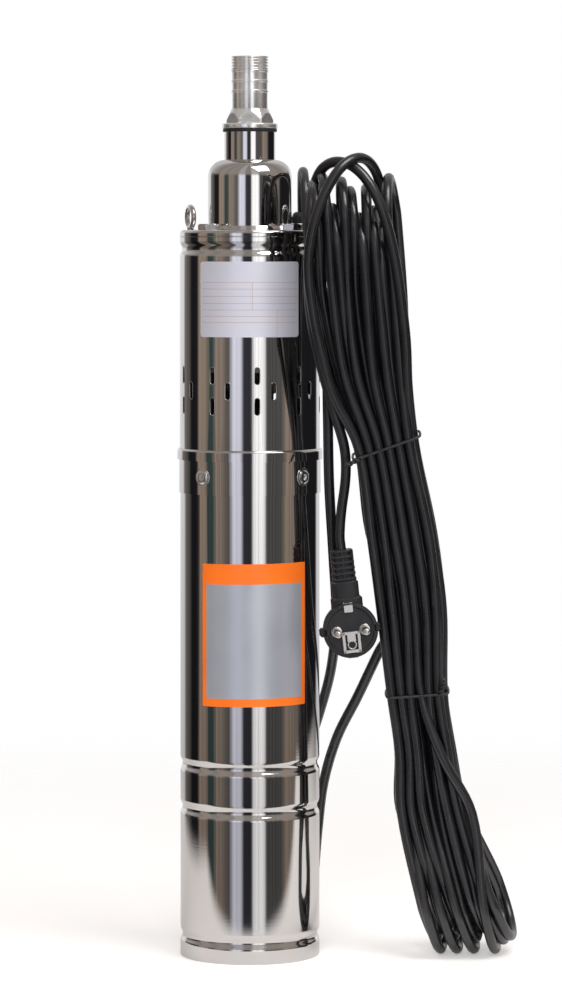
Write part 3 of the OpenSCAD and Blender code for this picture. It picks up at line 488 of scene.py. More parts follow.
class PumpStageSettings(bpy.types.PropertyGroup):
    """Camera, floor and light."""

    distance: FloatProperty(
        name="Distance", description="Camera to the pump's axis", unit="LENGTH", default=2.72
    )
    height: FloatProperty(name="Height", description="Height of the camera", unit="LENGTH", default=0.4893)
    side: FloatProperty(
        name="Side", description="Camera to the right of the axis", unit="LENGTH", default=0.0213
    )
    lens: FloatProperty(name="Lens", description="Focal length in millimetres", default=142.9)
    pitch: FloatProperty(
        name="Pitch", description="Angle that the camera looks down", subtype="ANGLE",
        default=math.radians(0.86),
    )
    shift: FloatProperty(name="Shift", description="Vertical lens shift", default=-0.2)
    floor_colour: FloatVectorProperty(
        name="Floor", description="Colour of the floor", subtype="COLOR", size=3, default=(0.96, 0.945, 0.935)
    )
    key_power: FloatProperty(
        name="Key light", description="Power of the overhead light", unit="POWER", default=26
    )
    fill_power: FloatProperty(
        name="Fill light", description="Power of the light by the camera", unit="POWER", default=48
    )


# Stage


def studio_ramp(tree, azimuth):
    """Panels round the pump, by azimuth, as its polished wall shows them."""
    white = (1.25, 1.25, 1.27)
    pale = (0.8, 0.8, 0.82)
    lilac = (0.82, 0.84, 0.97)
    slate = (0.035, 0.036, 0.045)
    grey = (0.09, 0.088, 0.085)
    tan = (0.32, 0.25, 0.2)
    brown = (0.2, 0.17, 0.15)
    teal = (0.045, 0.07, 0.068)
    black = (0.012, 0.012, 0.014)
    panels = (
        (-180, pale), (-140, pale), (-133, brown), (-118, grey), (-112, black), (-96, black), (-92, tan),
        (-78, tan), (-72, teal), (-63, teal), (-56, tan), (-42, brown), (-34, grey), (-27, lilac),
        (-15, lilac), (-10, slate), (3, slate), (7, white), (23, white), (28, grey), (54, grey),
        (62, tan), (86, brown), (93, black), (140, black), (146, pale), (180, pale),
    )
    ramp = add_node(tree, "ShaderNodeValToRGB", {"Fac": azimuth})
    stops = ramp.color_ramp.elements
    while len(stops) < len(panels):
        stops.new(0.5)
    for stop, (degrees, colour) in zip(stops, panels):
        stop.position = (degrees + 180) / 360
        stop.color = (*colour, 1)
    return ramp.outputs["Color"]


def studio_world():
    """A studio of tall panels under a dim ceiling, which the camera sees as a white backdrop."""
    world = bpy.data.worlds.new("studio")
    bpy.context.scene.world = world
    world.use_nodes = True
    tree = world.node_tree
    tree.nodes.clear()
    direction = add_node(tree, "ShaderNodeTexCoord").outputs["Generated"]
    axes = add_node(tree, "ShaderNodeSeparateXYZ", {"Vector": direction}).outputs
    to_front = product(tree, axes["Y"], -1.0)
    angle = add_node(tree, "ShaderNodeMath", {0: axes["X"], 1: to_front}, operation="ARCTAN2").outputs[0]
    panels = studio_ramp(tree, ramp_between(tree, angle, -math.pi, math.pi, kind="LINEAR"))
    streaks = add_node(
        tree, "ShaderNodeTexNoise", {"W": angle, "Scale": 22, "Detail": 3}, noise_dimensions="1D"
    )
    # The panels are uneven, and dimmer below the horizon
    uneven = ramp_between(tree, streaks.outputs["Fac"], 0.25, 0.75, 0.72, 1.22)
    dimmed = ramp_between(tree, axes["Z"], -0.17, 0.01, 0.6, 1.0)
    wall = add_node(
        tree, "ShaderNodeVectorMath", {0: panels, "Scale": product(tree, uneven, dimmed)}, operation="SCALE"
    )
    # The ceiling is paler towards the back, and takes over from the panels above the horizon
    to_back = ramp_between(tree, axes["Y"], 0.1, 0.75)
    front_tone, back_tone = (0.3, 0.27, 0.25, 1), (0.5, 0.49, 0.48, 1)
    ceiling = add_node(tree, "ShaderNodeMix", {0: to_back, 6: front_tone, 7: back_tone}, data_type="RGBA")
    rise = ramp_between(tree, axes["Z"], 0.08, 0.3, 0.0, 0.8)
    room = add_node(
        tree, "ShaderNodeMix", {0: rise, 6: wall.outputs["Vector"], 7: ceiling.outputs[2]}, data_type="RGBA"
    )
    lit = add_node(tree, "ShaderNodeBackground", {"Color": room.outputs[2], "Strength": 1.15})
    backdrop = add_node(tree, "ShaderNodeBackground", {"Color": (1, 1, 1, 1), "Strength": 1.0})
    seen = add_node(tree, "ShaderNodeLightPath").outputs["Is Camera Ray"]
    both = add_node(tree, "ShaderNodeMixShader", {0: seen, 1: lit.outputs[0], 2: backdrop.outputs[0]})
    add_node(tree, "ShaderNodeOutputWorld", {"Surface": both.outputs[0]})


# Edges of the floor, and where it starts to fade towards each
FLOOR = {"left": -0.62, "right": 1.2, "front": -0.21, "back": 1.3}
FADE = {"left": -0.38, "right": 0.95, "front": -0.12, "back": 0.25}
# Glow of the floor in reflections and to the camera
FLOOR_GLOW = (0.02, 0.32)
# Place of each light and the point that it looks at, and the side of its square
KEY_LIGHT = ((0.9, -0.9, 2.1), (0.03, 0, 0.3))
FILL_LIGHT = ((-0.2, -2.5, 0.9), (0.05, 0, 0.3))
LIGHT_SIZE = 1.2


def floor_material(colour):
    """Pale paper that fades out towards its edges, and glows a little to the camera."""
    made = bpy.data.materials.new("floor_paper")
    made.use_nodes = True
    tree = made.node_tree
    sockets = tree.nodes["Principled BSDF"].inputs
    sockets["Base Color"].default_value = (*colour, 1)
    sockets["Emission Color"].default_value = (1, 0.975, 0.96, 1)
    seen = add_node(tree, "ShaderNodeLightPath").outputs["Is Camera Ray"]
    tree.links.new(ramp_between(tree, seen, 0.0, 1.0, *FLOOR_GLOW), sockets["Emission Strength"])
    places = add_node(tree, "ShaderNodeTexCoord").outputs["Object"]
    grain = add_node(tree, "ShaderNodeTexNoise", {"Vector": places, "Scale": 300, "Detail": 3}).outputs["Fac"]
    tree.links.new(ramp_between(tree, grain, 0.0, 1.0, 0.55, 0.75), sockets["Roughness"])
    axes = add_node(tree, "ShaderNodeSeparateXYZ", {"Vector": places}).outputs
    shown = product(
        tree,
        ramp_between(tree, axes["X"], FLOOR["left"], FADE["left"]),
        ramp_between(tree, axes["X"], FADE["right"], FLOOR["right"], 1.0, 0.0),
        ramp_between(tree, axes["Y"], FLOOR["front"], FADE["front"]),
        ramp_between(tree, axes["Y"], FADE["back"], FLOOR["back"], 1.0, 0.0),
    )
    tree.links.new(shown, sockets["Alpha"])
    return made


def make_floor(colour):
    """A pale sheet under the pump, wide to the right and the back."""
    bm = bmesh.new()
    corners = (("left", "front"), ("right", "front"), ("right", "back"), ("left", "back"))
    bm.faces.new([bm.verts.new((FLOOR[x], FLOOR[y], 0)) for x, y in corners])
    mesh = bpy.data.meshes.new("floor")
    bm.to_mesh(mesh)
    bm.free()
    mesh.materials.append(floor_material(colour))
    linked("floor", mesh)


def softbox(name, place, power, glossy=True):
    """A square area light that looks at the pump; it may be kept out of reflections."""
    light = bpy.data.lights.new(name, "AREA")
    light.energy = power
    light.size = LIGHT_SIZE
    made = linked(name, light)
    made.location, aim = place
    made.rotation_euler = (Vector(aim) - made.location).to_track_quat("-Z", "Y").to_euler()
    made.visible_glossy = glossy


class PUMP_OT_stage(bpy.types.Operator):
    """Makes the camera, the floor and the light"""

    bl_idname = "pump.stage"
    bl_label = "Studio"

    def execute(self, context):
        stage = context.scene.pump_stage
        context.scene.view_settings.view_transform = "Standard"
        lens = bpy.data.cameras.new("camera")
        lens.lens = stage.lens
        lens.shift_y = stage.shift
        lens.clip_end = 20
        camera = linked("camera", lens)
        camera.location = (stage.side, -stage.distance, stage.height)
        camera.rotation_euler = (math.pi / 2 - stage.pitch, 0, 0)
        context.scene.camera = camera
        studio_world()
        make_floor(stage.floor_colour)
        softbox("key_light", KEY_LIGHT, stage.key_power)
        softbox("fill_light", FILL_LIGHT, stage.fill_power, glossy=False)
        return {"FINISHED"}


# Cable: routes outside the hank, in metres, as in the part's source

LEAD_ROUTE = (
    (0.03614, 0.01174, 0.509), (0.036, 0.0095, 0.519), (0.036, 0.004, 0.528), (0.036, -0.005, 0.534),
    (0.0363, -0.0155, 0.536), (0.0366, -0.0255, 0.534), (0.0372, -0.0345, 0.5275), (0.038, -0.041, 0.517),
    (0.039, -0.0455, 0.502), (0.041, -0.0495, 0.478),
)
LOOP_ROUTE = (
    (0.1, -0.024, 0.234), (0.088, -0.012, 0.208), (0.074, 0.004, 0.176), (0.06, 0.018, 0.146),
    (0.051, 0.028, 0.114), (0.047, 0.033, 0.082), (0.0445, 0.0375, 0.05), (0.0435, 0.0385, 0.029),
    (0.0425, 0.0405, 0.0195), (0.04, 0.045, 0.0115), (0.036, 0.052, 0.006), (0.031, 0.06, 0.004),
    (0.026, 0.0685, 0.006), (0.022, 0.0755, 0.0115), (0.0195, 0.08, 0.0195), (0.0185, 0.082, 0.029),
    (0.0185, 0.0815, 0.05), (0.0195, 0.08, 0.07), (0.026, 0.07, 0.096), (0.038, 0.05, 0.13),
    (0.048, 0.028, 0.162), (0.056, 0.008, 0.196), (0.059, -0.01, 0.234), (0.057, -0.02, 0.274),
    (0.054, -0.029, 0.324), (0.053, -0.036, 0.372), (0.052, -0.041, 0.412), (0.049, -0.045, 0.446),
)
TAIL_ROUTE = (
    (0.04, -0.056, 0.454), (0.042, -0.055, 0.434), (0.048, -0.052, 0.406), (0.057, -0.0475, 0.374),
    (0.064, -0.0435, 0.35), (0.065, -0.0405, 0.33), (0.062, -0.038, 0.305), (0.06104, -0.03736, 0.28916),
    (0.06198, -0.03731, 0.2802),
)
# Lean of the hank on the pump, and how far that lifts its middle off the floor
HANK_LEAN = math.radians(6.3)
HANK_FOOT = 0.018 * math.sin(HANK_LEAN)
# Height in the hank, its left and right edges there, and the pitch of its rows from front to back
HANK_LEVELS = (
    (0.1, 0.0995, 0.1495, 0.0078), (0.14, 0.0975, 0.141, 0.0068), (0.181, 0.093, 0.135, 0.0062),
    (0.24, 0.0865, 0.134, 0.0066), (0.29, 0.079, 0.1275, 0.0065), (0.351, 0.07, 0.115, 0.0062),
    (0.4, 0.052, 0.109, 0.0074), (0.45, 0.042, 0.106, 0.0095),
)
HANK_ROWS = 4
# Most that a run strays from its place between the ties
LOOSE = 0.0012
# Each tie: its level, its slope, the side that its twisted ends stand on, and their lean in degrees
TIES = ((0.181, 0.07, 1, 75), (0.351, 0.36, -1, -25))
TIE_LEVELS = tuple(level for level, *_ in TIES)
# How far a tie presses in at the sides of the hank, and the rounding of its corners
TIE_BITE = 0.0002
TIE_CORNER = 0.0045
# Twisted ends: place in from the hank's side, lean to the front, and the steps along them
TWIST_INSET = 0.006
TWIST_OUT = 0.35
TWIST_STEP = 0.0011
TWIST_STEPS = 12
# Place across of the front and back leg of each plain top fold, the depth of its middle and its height
TOP_FOLDS = {
    1: (0.0445, 0.0425, 0, 0.527),
    2: (0.0505, 0.0475, -0.001, 0.533),
    3: (0.0565, 0.055, 0.001, 0.512),
    4: (0.063, 0.0605, -0.0005, 0.53),
    5: (0.0695, 0.066, 0.001, 0.5235),
    6: (0.0745, 0.0725, -0.001, 0.506),
    7: (0.0775, 0.079, 0.002, 0.525),
    8: (0.0815, 0.085, 0, 0.5105),
    9: (0.0865, 0.0875, 0.0025, 0.497),
    10: (0.0895, 0.0975, 0.0025, 0.532),
}
# Radius of a top fold, and the height that it needs to turn in
FOLD_R = 0.0235
FOLD_ROOM = 2.75 * FOLD_R
# The two wide arches over the folds, as (across, depth, up)
LEFT_ARCH = (
    (0.0565, -0.014, 0.387), (0.049, -0.019, 0.415), (0.0425, -0.0235, 0.446), (0.0395, -0.0265, 0.476),
    (0.042, -0.0285, 0.499), (0.047, -0.0295, 0.5165), (0.0535, -0.0285, 0.531), (0.0615, -0.0245, 0.542),
    (0.0705, -0.0165, 0.547), (0.0785, -0.0065, 0.545), (0.085, 0.002, 0.536), (0.089, 0.0075, 0.5215),
    (0.0913, 0.01, 0.504), (0.0925, 0.011, 0.474), (0.0935, 0.011, 0.45), (0.095, 0.0105, 0.425),
    (0.0985, 0.0105, 0.398),
)
RIGHT_ARCH = (
    (0.1065, -0.0125, 0.3915), (0.105, -0.0165, 0.4225), (0.1025, -0.0195, 0.4455), (0.0985, -0.0225, 0.473),
    (0.093, -0.0248, 0.499), (0.0857, -0.0247, 0.5205), (0.0768, -0.0213, 0.535), (0.0665, -0.0145, 0.543),
    (0.056, -0.0055, 0.5435), (0.048, 0.003, 0.537), (0.0435, 0.0095, 0.5245), (0.0425, 0.013, 0.5075),
)
# The fold that brings the loop over to the plug: its tip, as above, and the ends of its legs
TAIL_FOLD = (0.0445, 0.0405, 0.0025, 0.5274)
TAIL_LEGS = ((0.049, 0.004, 0.446), (0.04, -0.008, 0.455))
# Height above the loop at which the hank's last run leaves for it
LOOP_START = 0.03
# Place from left to right of each run behind, in the order that the cable is folded
BACK_ORDER = (9, 1, 2, 3, 4, 5, 6, 7, 8, 10, 11, 0)
# Place across of each bottom fold, its radius and its height
BOTTOM_FOLDS = (
    (0.1265, 0.0235, 0.0075), (0.1285, 0.03, 0), (0.1375, 0.0235, 0.008), (0.14, 0.03, 0),
    (0.146, 0.0235, 0.012), (0.1515, 0.03, 0), (0.166, 0.031, 0), (0.153, 0.0235, 0.0075),
    (0.159, 0.0235, 0.014), (0.1645, 0.0235, 0.008), (0.172, 0.0235, 0.006), (0.1765, 0.028, 0.009),
)
# How far right of that place the back leg and the front leg of a bottom fold stand
FOOT_BACK, FOOT_FRONT = 0.009, -0.003
# How far the hank's lean lifts the foot of a bottom fold
FOOT_LIFT = 0.0013
# A run that crosses in front of the others: its number, its place across at the lower levels, and
# how far it stands out there, in radii of the cable
CROSSING = 6
CROSSING_PLACES = {0.1: 0.151, 0.14: 0.1305, 0.181: 0.1165}
CROSSING_OUT = 1.5


def in_hank(across, depth, up):
    """A point of the hank, which leans back on the pump."""
    lean_sin, lean_cos = math.sin(HANK_LEAN), math.cos(HANK_LEAN)
    return Vector((across, depth * lean_cos - up * lean_sin, depth * lean_sin + up * lean_cos + HANK_FOOT))


def strand(place, row, r, draw, levels=HANK_LEVELS):
    """One run of cable up the hank: place is 0 at its left edge and 1 at its right."""
    points = []
    for up, left, right, pitch in levels:
        loose = 0.0 if up in TIE_LEVELS else LOOSE
        across = left + r + place * (right - left - 2 * r) + loose * draw.uniform(-1, 1)
        depth = (row - (HANK_ROWS - 1) / 2) * pitch + loose * draw.uniform(-1, 1)
        points.append((across, depth, up))
    return points


def fold(start, end, tip, r, side):
    """A round fold between two runs that leave its circle along its tangents; side is 1 at the top."""
    tip_start, tip_end, middle, height = tip
    centre = height - side * r
    turns = []
    for _, depth, up in (start, end):
        outward = 1 if depth > middle else -1
        x, y = outward * (depth - middle), side * (centre - up)
        turns.append((outward, math.atan2(y, x) - math.acos(min(1, r / math.hypot(x, y)))))
    (outward, first), (_, last) = turns
    sweep = math.pi + first + last
    steps = 8
    points = []
    for k in range(steps + 1):
        share = k / steps
        a = first - sweep * share
        up = centre - side * r * math.sin(a)
        at_tip = tip_start + (tip_end - tip_start) * share
        leg = start if share < 0.5 else end
        away = (height - up) / (height - leg[2])
        points.append((at_tip + (leg[0] - at_tip) * away, middle + outward * r * math.cos(a), up))
    return points


def cable_route(r):
    """Gland, hank, loose loop and plug as one route."""
    draw = random.Random(11)
    last = len(BOTTOM_FOLDS) - 1

    def front(k):
        run = strand(k / last, k % 2, r, draw)
        if k != CROSSING:
            return run
        crossing = []
        for across, depth, up in run:
            out = CROSSING_OUT * r if up < TIE_LEVELS[0] else 0.0
            crossing.append((CROSSING_PLACES.get(up, across), depth - out, up))
        return crossing

    def back(k):
        return strand(BACK_ORDER[k] / last, 2 + BACK_ORDER[k] % 2, r, draw)

    def under(run, k, rise):
        across, fold_r, up = BOTTOM_FOLDS[k]
        tip = (across + FOOT_BACK, across + FOOT_FRONT, 0, r - FOOT_LIFT + up)
        return fold(run[-1], rise[0], tip, fold_r, -1)

    def below(run, up):
        return [point for point in run if point[2] < up]

    hank = []
    run = strand(0.0, 1.5, r, draw, HANK_LEVELS[:-1])[::-1]
    for k in range(last + 1):
        rise, fall = front(k), back(k)
        if k == 0:
            rise, turn, fall = below(rise, LEFT_ARCH[0][2]), LEFT_ARCH, below(fall, LEFT_ARCH[-1][2])
        elif k == last:
            rise, turn = below(rise, RIGHT_ARCH[0][2]), RIGHT_ARCH
        else:
            clear = TOP_FOLDS[k][-1] - FOLD_ROOM
            rise, fall = below(rise, clear), below(fall, clear)
            turn = fold(rise[-1], fall[-1], TOP_FOLDS[k], FOLD_R, 1)
        hank += [*run, *under(run, k, rise), *rise, *turn]
        run = fall[::-1]
    out = [point for point in run if point[2] > LOOP_ROUTE[0][2] + LOOP_START]
    route = [Vector(p) for p in LEAD_ROUTE]
    route += [in_hank(*p) for p in hank + out]
    route += [Vector(p) for p in LOOP_ROUTE]
    route += [in_hank(*p) for p in fold(*TAIL_LEGS, TAIL_FOLD, FOLD_R, 1)]
    return route + [Vector(p) for p in TAIL_ROUTE]


class PUMP_OT_cable(bpy.types.Operator):
    """Makes the mains cable: out of the gland, folded into the hank, round the loop and into the plug"""

    bl_idname = "pump.cable"
    bl_label = "Mains cable"

    def execute(self, context):
        cable = context.scene.pump_cable
        r = cable.diameter / 2
        solids = ("cord_lead", "cord_hank", "cord_loop", "cord_tail")
        made = wire("mains_cable", [cable_route(r)], r, "cable_sheath", solids, steps=7)
        return {"FINISHED"}


def hank_at(level):
    """Middle, width and depth over the rows' middles of the hank at one of its levels."""
    _, left, right, pitch = next(entry for entry in HANK_LEVELS if entry[0] == level)
    return (left + right) / 2, right - left, (HANK_ROWS - 1) * pitch


def tie_loop(level, slant, r, wire_r):
    """A wire round the hank at one of its levels, as points of a rounded rectangle."""
    middle, wide, rows = hank_at(level)
    deep = rows + 2 * r + 2 * wire_r
    outline = rounded_rectangle(wide - 2 * TIE_BITE, deep, TIE_CORNER, 3)
    return [in_hank(middle + x, y, level + slant * x) for x, y in outline]


def tie_twist(level, slant, side, lean, r, wire_r):
    """The two twisted ends of a tie, at the left or right end of its front."""
    middle, wide, rows = hank_at(level)
    half = wide / 2 - TWIST_INSET
    start = Vector((side * half, -rows / 2 - r - 2 * wire_r, slant * side * half))
    lean = math.radians(lean)
    along = Vector((side * math.cos(lean), -TWIST_OUT, math.sin(lean))).normalized()
    out = along.orthogonal().normalized()
    over = along.cross(out)
    twists = []
    for end in (0, math.pi):
        points = []
        for k in range(TWIST_STEPS + 1):
            a = end + k * math.pi / 3
            p = start + along * (TWIST_STEP * k) + (out * math.cos(a) + over * math.sin(a)) * wire_r
            points.append(in_hank(middle + p.x, p.y, level + p.z))
        twists.append(points)
    return twists


class PUMP_OT_ties(bpy.types.Operator):
    """Makes the two wire ties round the hank"""

    bl_idname = "pump.ties"
    bl_label = "Hank ties"

    def execute(self, context):
        cable = context.scene.pump_cable
        r, wire_r = cable.diameter / 2, cable.tie_diameter / 2
        loops = [tie_loop(level, slant, r, wire_r) for level, slant, _, _ in TIES]
        wire("tie_loops", loops, wire_r, "tie_wire", ("hank_ties",), closed=True)
        ends = [points for tie in TIES for points in tie_twist(*tie, r, wire_r)]
        wire("tie_ends", ends, wire_r, "tie_wire")
        return {"FINISHED"}


# Plug: its face, its turn, and heights above its middle

PLUG_FACE = Vector((0.0683, -0.05, 0.2265))
PLUG_TURN = Matrix.Rotation(math.radians(3), 4, "Z") @ Matrix.Rotation(math.radians(-6), 4, "Y")
PLUG_PLACE = Matrix.Translation(PLUG_FACE) @ PLUG_TURN
PLUG_MID = 0.013
PLUG_NECK_TOP = 0.033
PLUG_RELIEF_TOP = 0.054
PIN_SPACING = 0.019


def face_outline(r, scale):
    """The plug's face with its two guide notches, as (across, up) points."""
    notch_half, notch_in = 0.0023, r - 0.0022
    a0 = math.asin(notch_half / r)
    steps = 28
    points = []
    for side in (1, -1):
        for k in range(steps + 1):
            a = a0 + (math.pi - 2 * a0) * k / steps + (0 if side == 1 else math.pi)
            points.append((r * math.cos(a), r * math.sin(a)))
        points.append((-side * notch_in, side * notch_half))
        points.append((-side * notch_in, -side * notch_half))
    return [(x * scale, z * scale) for x, z in points]


def plug_shell(plug):
    """Round body with a rim, a recessed face, side lugs and the neck that the cable leaves by."""
    bm = bmesh.new()
    back = plug.depth
    # Share of the face's radius, and depth behind the face
    stations = (
        (0.0, 0.0012), (0.83, 0.0012), (0.86, 0.0002), (0.95, 0.0), (0.985, 0.0003), (1.0, 0.001),
        (1.0, 0.0038), (0.97, 0.0042), (0.957, 0.0048), (0.957, back - 0.007), (0.92, back - 0.004),
        (0.82, back - 0.0015), (0.66, back - 0.0002), (0.4, back), (0.0, back),
    )
    rings = []
    for scale, y in stations:
        outline = face_outline(plug.radius, max(scale, 0.001))
        rings.append([PLUG_PLACE @ Vector((x, y, z)) for x, z in outline])
    add_rings(bm, rings, cap_ends=True)
    neck = PLUG_PLACE @ Matrix.Translation((0, PLUG_MID, 0))
    neck_foot, collar_top, lug_sunk, lug_back = 0.008, 0.0222, 0.0002, 0.0085
    add_block(bm, neck, w=0.018, d=0.015, z0=neck_foot, z1=PLUG_NECK_TOP, r=0.0045, edge=0.0012)
    add_block(bm, neck, w=0.0212, d=0.0158, z0=neck_foot, z1=collar_top, r=0.0045, edge=0.0014)
    for side in (-1, 1):
        lug = PLUG_PLACE @ Matrix.Translation((side * (plug.radius - lug_sunk), lug_back, 0))
        add_block(bm, lug, w=0.0046, d=0.009, z0=-0.0031, z1=0.0029, r=0.0016, edge=0.0012)
    piece("plug_shell", bm, "plug_plastic", ("plug_body",))


def plug_relief():
    """Strain relief: a core with rails, a spine and rungs that leave two columns of slots."""
    bm = bmesh.new()
    place = PLUG_PLACE @ Matrix.Translation((0, PLUG_MID, 0))
    foot, top = PLUG_NECK_TOP, PLUG_RELIEF_TOP - 0.0004
    rungs, rung_h, rung_w, taper = 6, 0.002, 0.0164, 0.0014
    pitch = (PLUG_RELIEF_TOP - foot - rung_h) / (rungs - 1)
    add_block(bm, place, w=0.0138, d=0.0096, z0=foot - 0.001, z1=top, r=0.004, edge=0.0004)
    for i in range(rungs):
        z = foot + i * pitch
        w = rung_w - taper * i / (rungs - 1)
        add_block(bm, place, w, d=0.0142, z0=z, z1=z + rung_h, r=0.004, edge=0.0005)
    for x, deep in ((-0.0067, 0.0086), (0, 0.0138), (0.0067, 0.0086)):
        rail = place @ Matrix.Translation((x, 0, 0))
        add_block(bm, rail, w=0.0018, d=deep, z0=foot, z1=top, r=0.0006, edge=0.0003)
    piece("plug_relief", bm, "plug_plastic", ("plug_sleeve",))


def plug_prongs(plug):
    """Two round pins with rounded tips, each on its collar."""
    bm = bmesh.new()
    r, collar_r, tip_r, root, tip = 0.0024, 0.0037, 0.0002, -0.006, plug.pin_length
    profile = filleted(((tip_r, root, 0), (r, root, 0), (r, tip, 0.0017), (tip_r, tip, 0)), 8)
    low, high = -0.002, 0.0002
    collar = filleted(((r, low, 0), (collar_r, low, 0), (collar_r, high, 0.0004), (r, high, 0)))
    forward = Matrix.Rotation(math.pi / 2, 4, "X")
    for side in (-1, 1):
        seat = PLUG_PLACE @ Matrix.Translation((side * PIN_SPACING / 2, 0, 0)) @ forward
        add_lathe(bm, profile, seat, 40, closed=False)
        add_lathe(bm, collar, seat, 40)
    piece("plug_prongs", bm, "plug_contact", ("plug_pins",))


def plug_earth_clips(plug):
    """Earth contacts: strips over the edge, and a frame with its tongue round a socket in the face."""
    bm = bmesh.new()
    flat = PLUG_PLACE @ Matrix.Rotation(math.pi / 2, 4, "X")
    edge = 0.0002

    def add_bar(x, y, w, h, low, high, corner=0.0006):
        add_block(bm, flat @ Matrix.Translation((x, y, 0)), w, h, low, high, corner, edge)

    strip_back, strip_sunk, strip_thick = 0.0075, 0.0004, 0.001
    strip = PLUG_PLACE @ Matrix.Translation((0, strip_back, 0))
    for side in (-1, 1):
        low = side * (plug.radius - strip_sunk) - strip_thick / 2
        add_block(bm, strip, w=0.0066, d=0.0135, z0=low, z1=low + strip_thick, r=0.0008, edge=edge)
    add_bar(x=0, y=0.0148, w=0.0062, h=0.005, low=-0.0008, high=0.0004, corner=0.0008)
    bar, frame_w, frame_h, frame_mid, low, high = 0.0021, 0.0124, 0.0144, -0.0079, -0.001, 0.0003
    for side in (-1, 1):
        add_bar(side * (frame_w - bar) / 2, frame_mid, bar, frame_h, low, high)
        add_bar(0, frame_mid + side * (frame_h - bar) / 2, frame_w, bar, low, high)
    add_bar(x=0, y=-0.0042, w=0.0058, h=0.0066, low=low, high=0.0006)
    inner_r, outer_r, rim, socket_y = 0.0022, 0.0032, 0.0004, -0.0096
    section = filleted(
        (
            (inner_r, low, 0), (outer_r, low, 0), (outer_r, rim, 0.0003), (inner_r, rim, 0.0003),
            (inner_r, low, 0),
        )
    )
    add_lathe(bm, section[:-1], flat @ Matrix.Translation((0, socket_y, 0)), 32)
    piece("plug_earth_clips", bm, "plug_contact", ("plug_earth",))


class PUMP_OT_plug(bpy.types.Operator):
    """Makes the angled plug: body, strain relief, pins and earth contacts"""

    bl_idname = "pump.plug"
    bl_label = "Mains plug"

    def execute(self, context):
        plug = context.scene.pump_plug
        plug_shell(plug)
        plug_relief()
        plug_prongs(plug)
        plug_earth_clips(plug)
        return {"FINISHED"}


# Metal pieces

# Steel pieces inside the slotted casing, darkened with painted shade so that the slots look dark inside
SLOT_SHADED_PARTS = (
    "seal_cover", "seal_ring", "seal_spring", "seal_collar", "coupling_hub", "lower_drive_pin",
    "connecting_rod", "rotor_socket", "upper_drive_pin", "suction_ring", "stator_jacket", "tie_rods",
    "tie_spacers",
)


class PUMP_OT_metal(bpy.types.Operator):
    """Gives every piece that comes from the frame its finish"""

    bl_idname = "pump.metal"
    bl_label = "Finishes"

    def execute(self, context):
        made = finishes()
        for part in frame["record"]["subparts"]:
            name = part["node"]
            mesh = frame["nodes"][name].data
            mesh.materials.clear()
            # Pieces inside the casing take the dark steel, which paints the shade in the slots
            mesh.materials.append(made["slot_shade_steel" if name in SLOT_SHADED_PARTS else part["material_slot"]])
        return {"FINISHED"}


def ridge(z, half, r, tail_r):
    """Corners of one turned ring of the hose tail."""
    soft, fillet = 0.0003, 0.0002
    outline = ((tail_r, -half - soft), (r, -half), (r, half), (tail_r, half + soft))
    return [(radius, z + up, fillet) for radius, up in outline]


def hose_tail_profile():
    """Section of the hose tail: bore, thread, flange, tail, rings and end ridges."""
    bore, thread_r, core_r, tail_r, ring_r, groove_r = 0.0095, 0.0154, 0.0122, 0.0123, 0.0127, 0.0119
    tail_foot = FLANGE_TOP + HEX_H
    corners = [
        (bore, THREAD_FOOT, 0), (thread_r, THREAD_FOOT, 0.0005), (thread_r, FLANGE_FOOT, 0),
        (FLANGE_R, FLANGE_FOOT, 0.0005), (FLANGE_R, FLANGE_TOP, 0.0008), (core_r, FLANGE_TOP, 0),
        (core_r, tail_foot, 0), (tail_r, tail_foot, 0.0004),
    ]
    first_ring, ring_pitch, end_gap, end_pitch = 0.012, 0.0069, 0.0005, 0.002
    for i in range(3):
        corners += ridge(tail_foot + first_ring + ring_pitch * i, 0.0006, ring_r, tail_r)
    for i in range(4, 0, -1):
        corners += ridge(HOSE_TOP - end_gap - end_pitch * i, 0.0004, ring_r, groove_r)
    corners += [
        (groove_r, HOSE_TOP - 0.0013, 0.0002), (ring_r, HOSE_TOP - 0.001, 0.0002), (ring_r, HOSE_TOP, 0.0004),
        (bore + 0.0009, HOSE_TOP, 0.0002), (bore, HOSE_TOP - 0.0012, 0.0003), (bore, THREAD_FOOT, 0),
    ]
    return filleted(corners, 4)


class PUMP_OT_outlet(bpy.types.Operator):
    """Makes the turned hose tail with its hexagon, and the gasket under it"""

    bl_idname = "pump.outlet"
    bl_label = "Hose tail"

    def execute(self, context):
        bm = bmesh.new()
        add_lathe(bm, hose_tail_profile()[:-1], segments=128)
        add_hexagon(
            bm, Matrix(), r=0.016, z0=FLANGE_TOP, z1=FLANGE_TOP + HEX_H, hole_r=0.0118, top=0.0075,
            foot=0.0004, segments=192, slope=0.44,
        )
        piece("hose_fitting", bm, "bright_fitting", ("hose_tail",), sharp=28)
        low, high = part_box("outlet_gasket")
        bore, edge = 0.0158, 0.0007
        section = filleted(
            (
                (bore, low.z, 0), (high.x, low.z, edge), (high.x + 0.0002, (low.z + high.z) / 2, 0.0006),
                (high.x, high.z, edge), (bore, high.z, 0),
            )
        )
        bm = bmesh.new()
        add_lathe(bm, section, segments=128)
        piece("gasket_ring", bm, "seal_rubber", ("outlet_gasket",), sharp=60)
        return {"FINISHED"}


class PUMP_OT_head(bpy.types.Operator):
    """Makes the head plate, whose softened lower edge shows its seam with the casing"""

    bl_idname = "pump.head"
    bl_label = "Head plate"

    def execute(self, context):
        bore, foot, top = 0.02, PLATE_TOP - 0.005, PLATE_TOP
        bm = bmesh.new()
        edge = (CASING_R, foot, 0.0006), (CASING_R, top, 0.0025)
        section = filleted(((bore, foot, 0), *edge, (bore, top, 0)), 8)
        add_lathe(bm, section, segments=192)
        piece("head_plate", bm, "polished_steel", ("top_plate",), sharp=60)
        return {"FINISHED"}


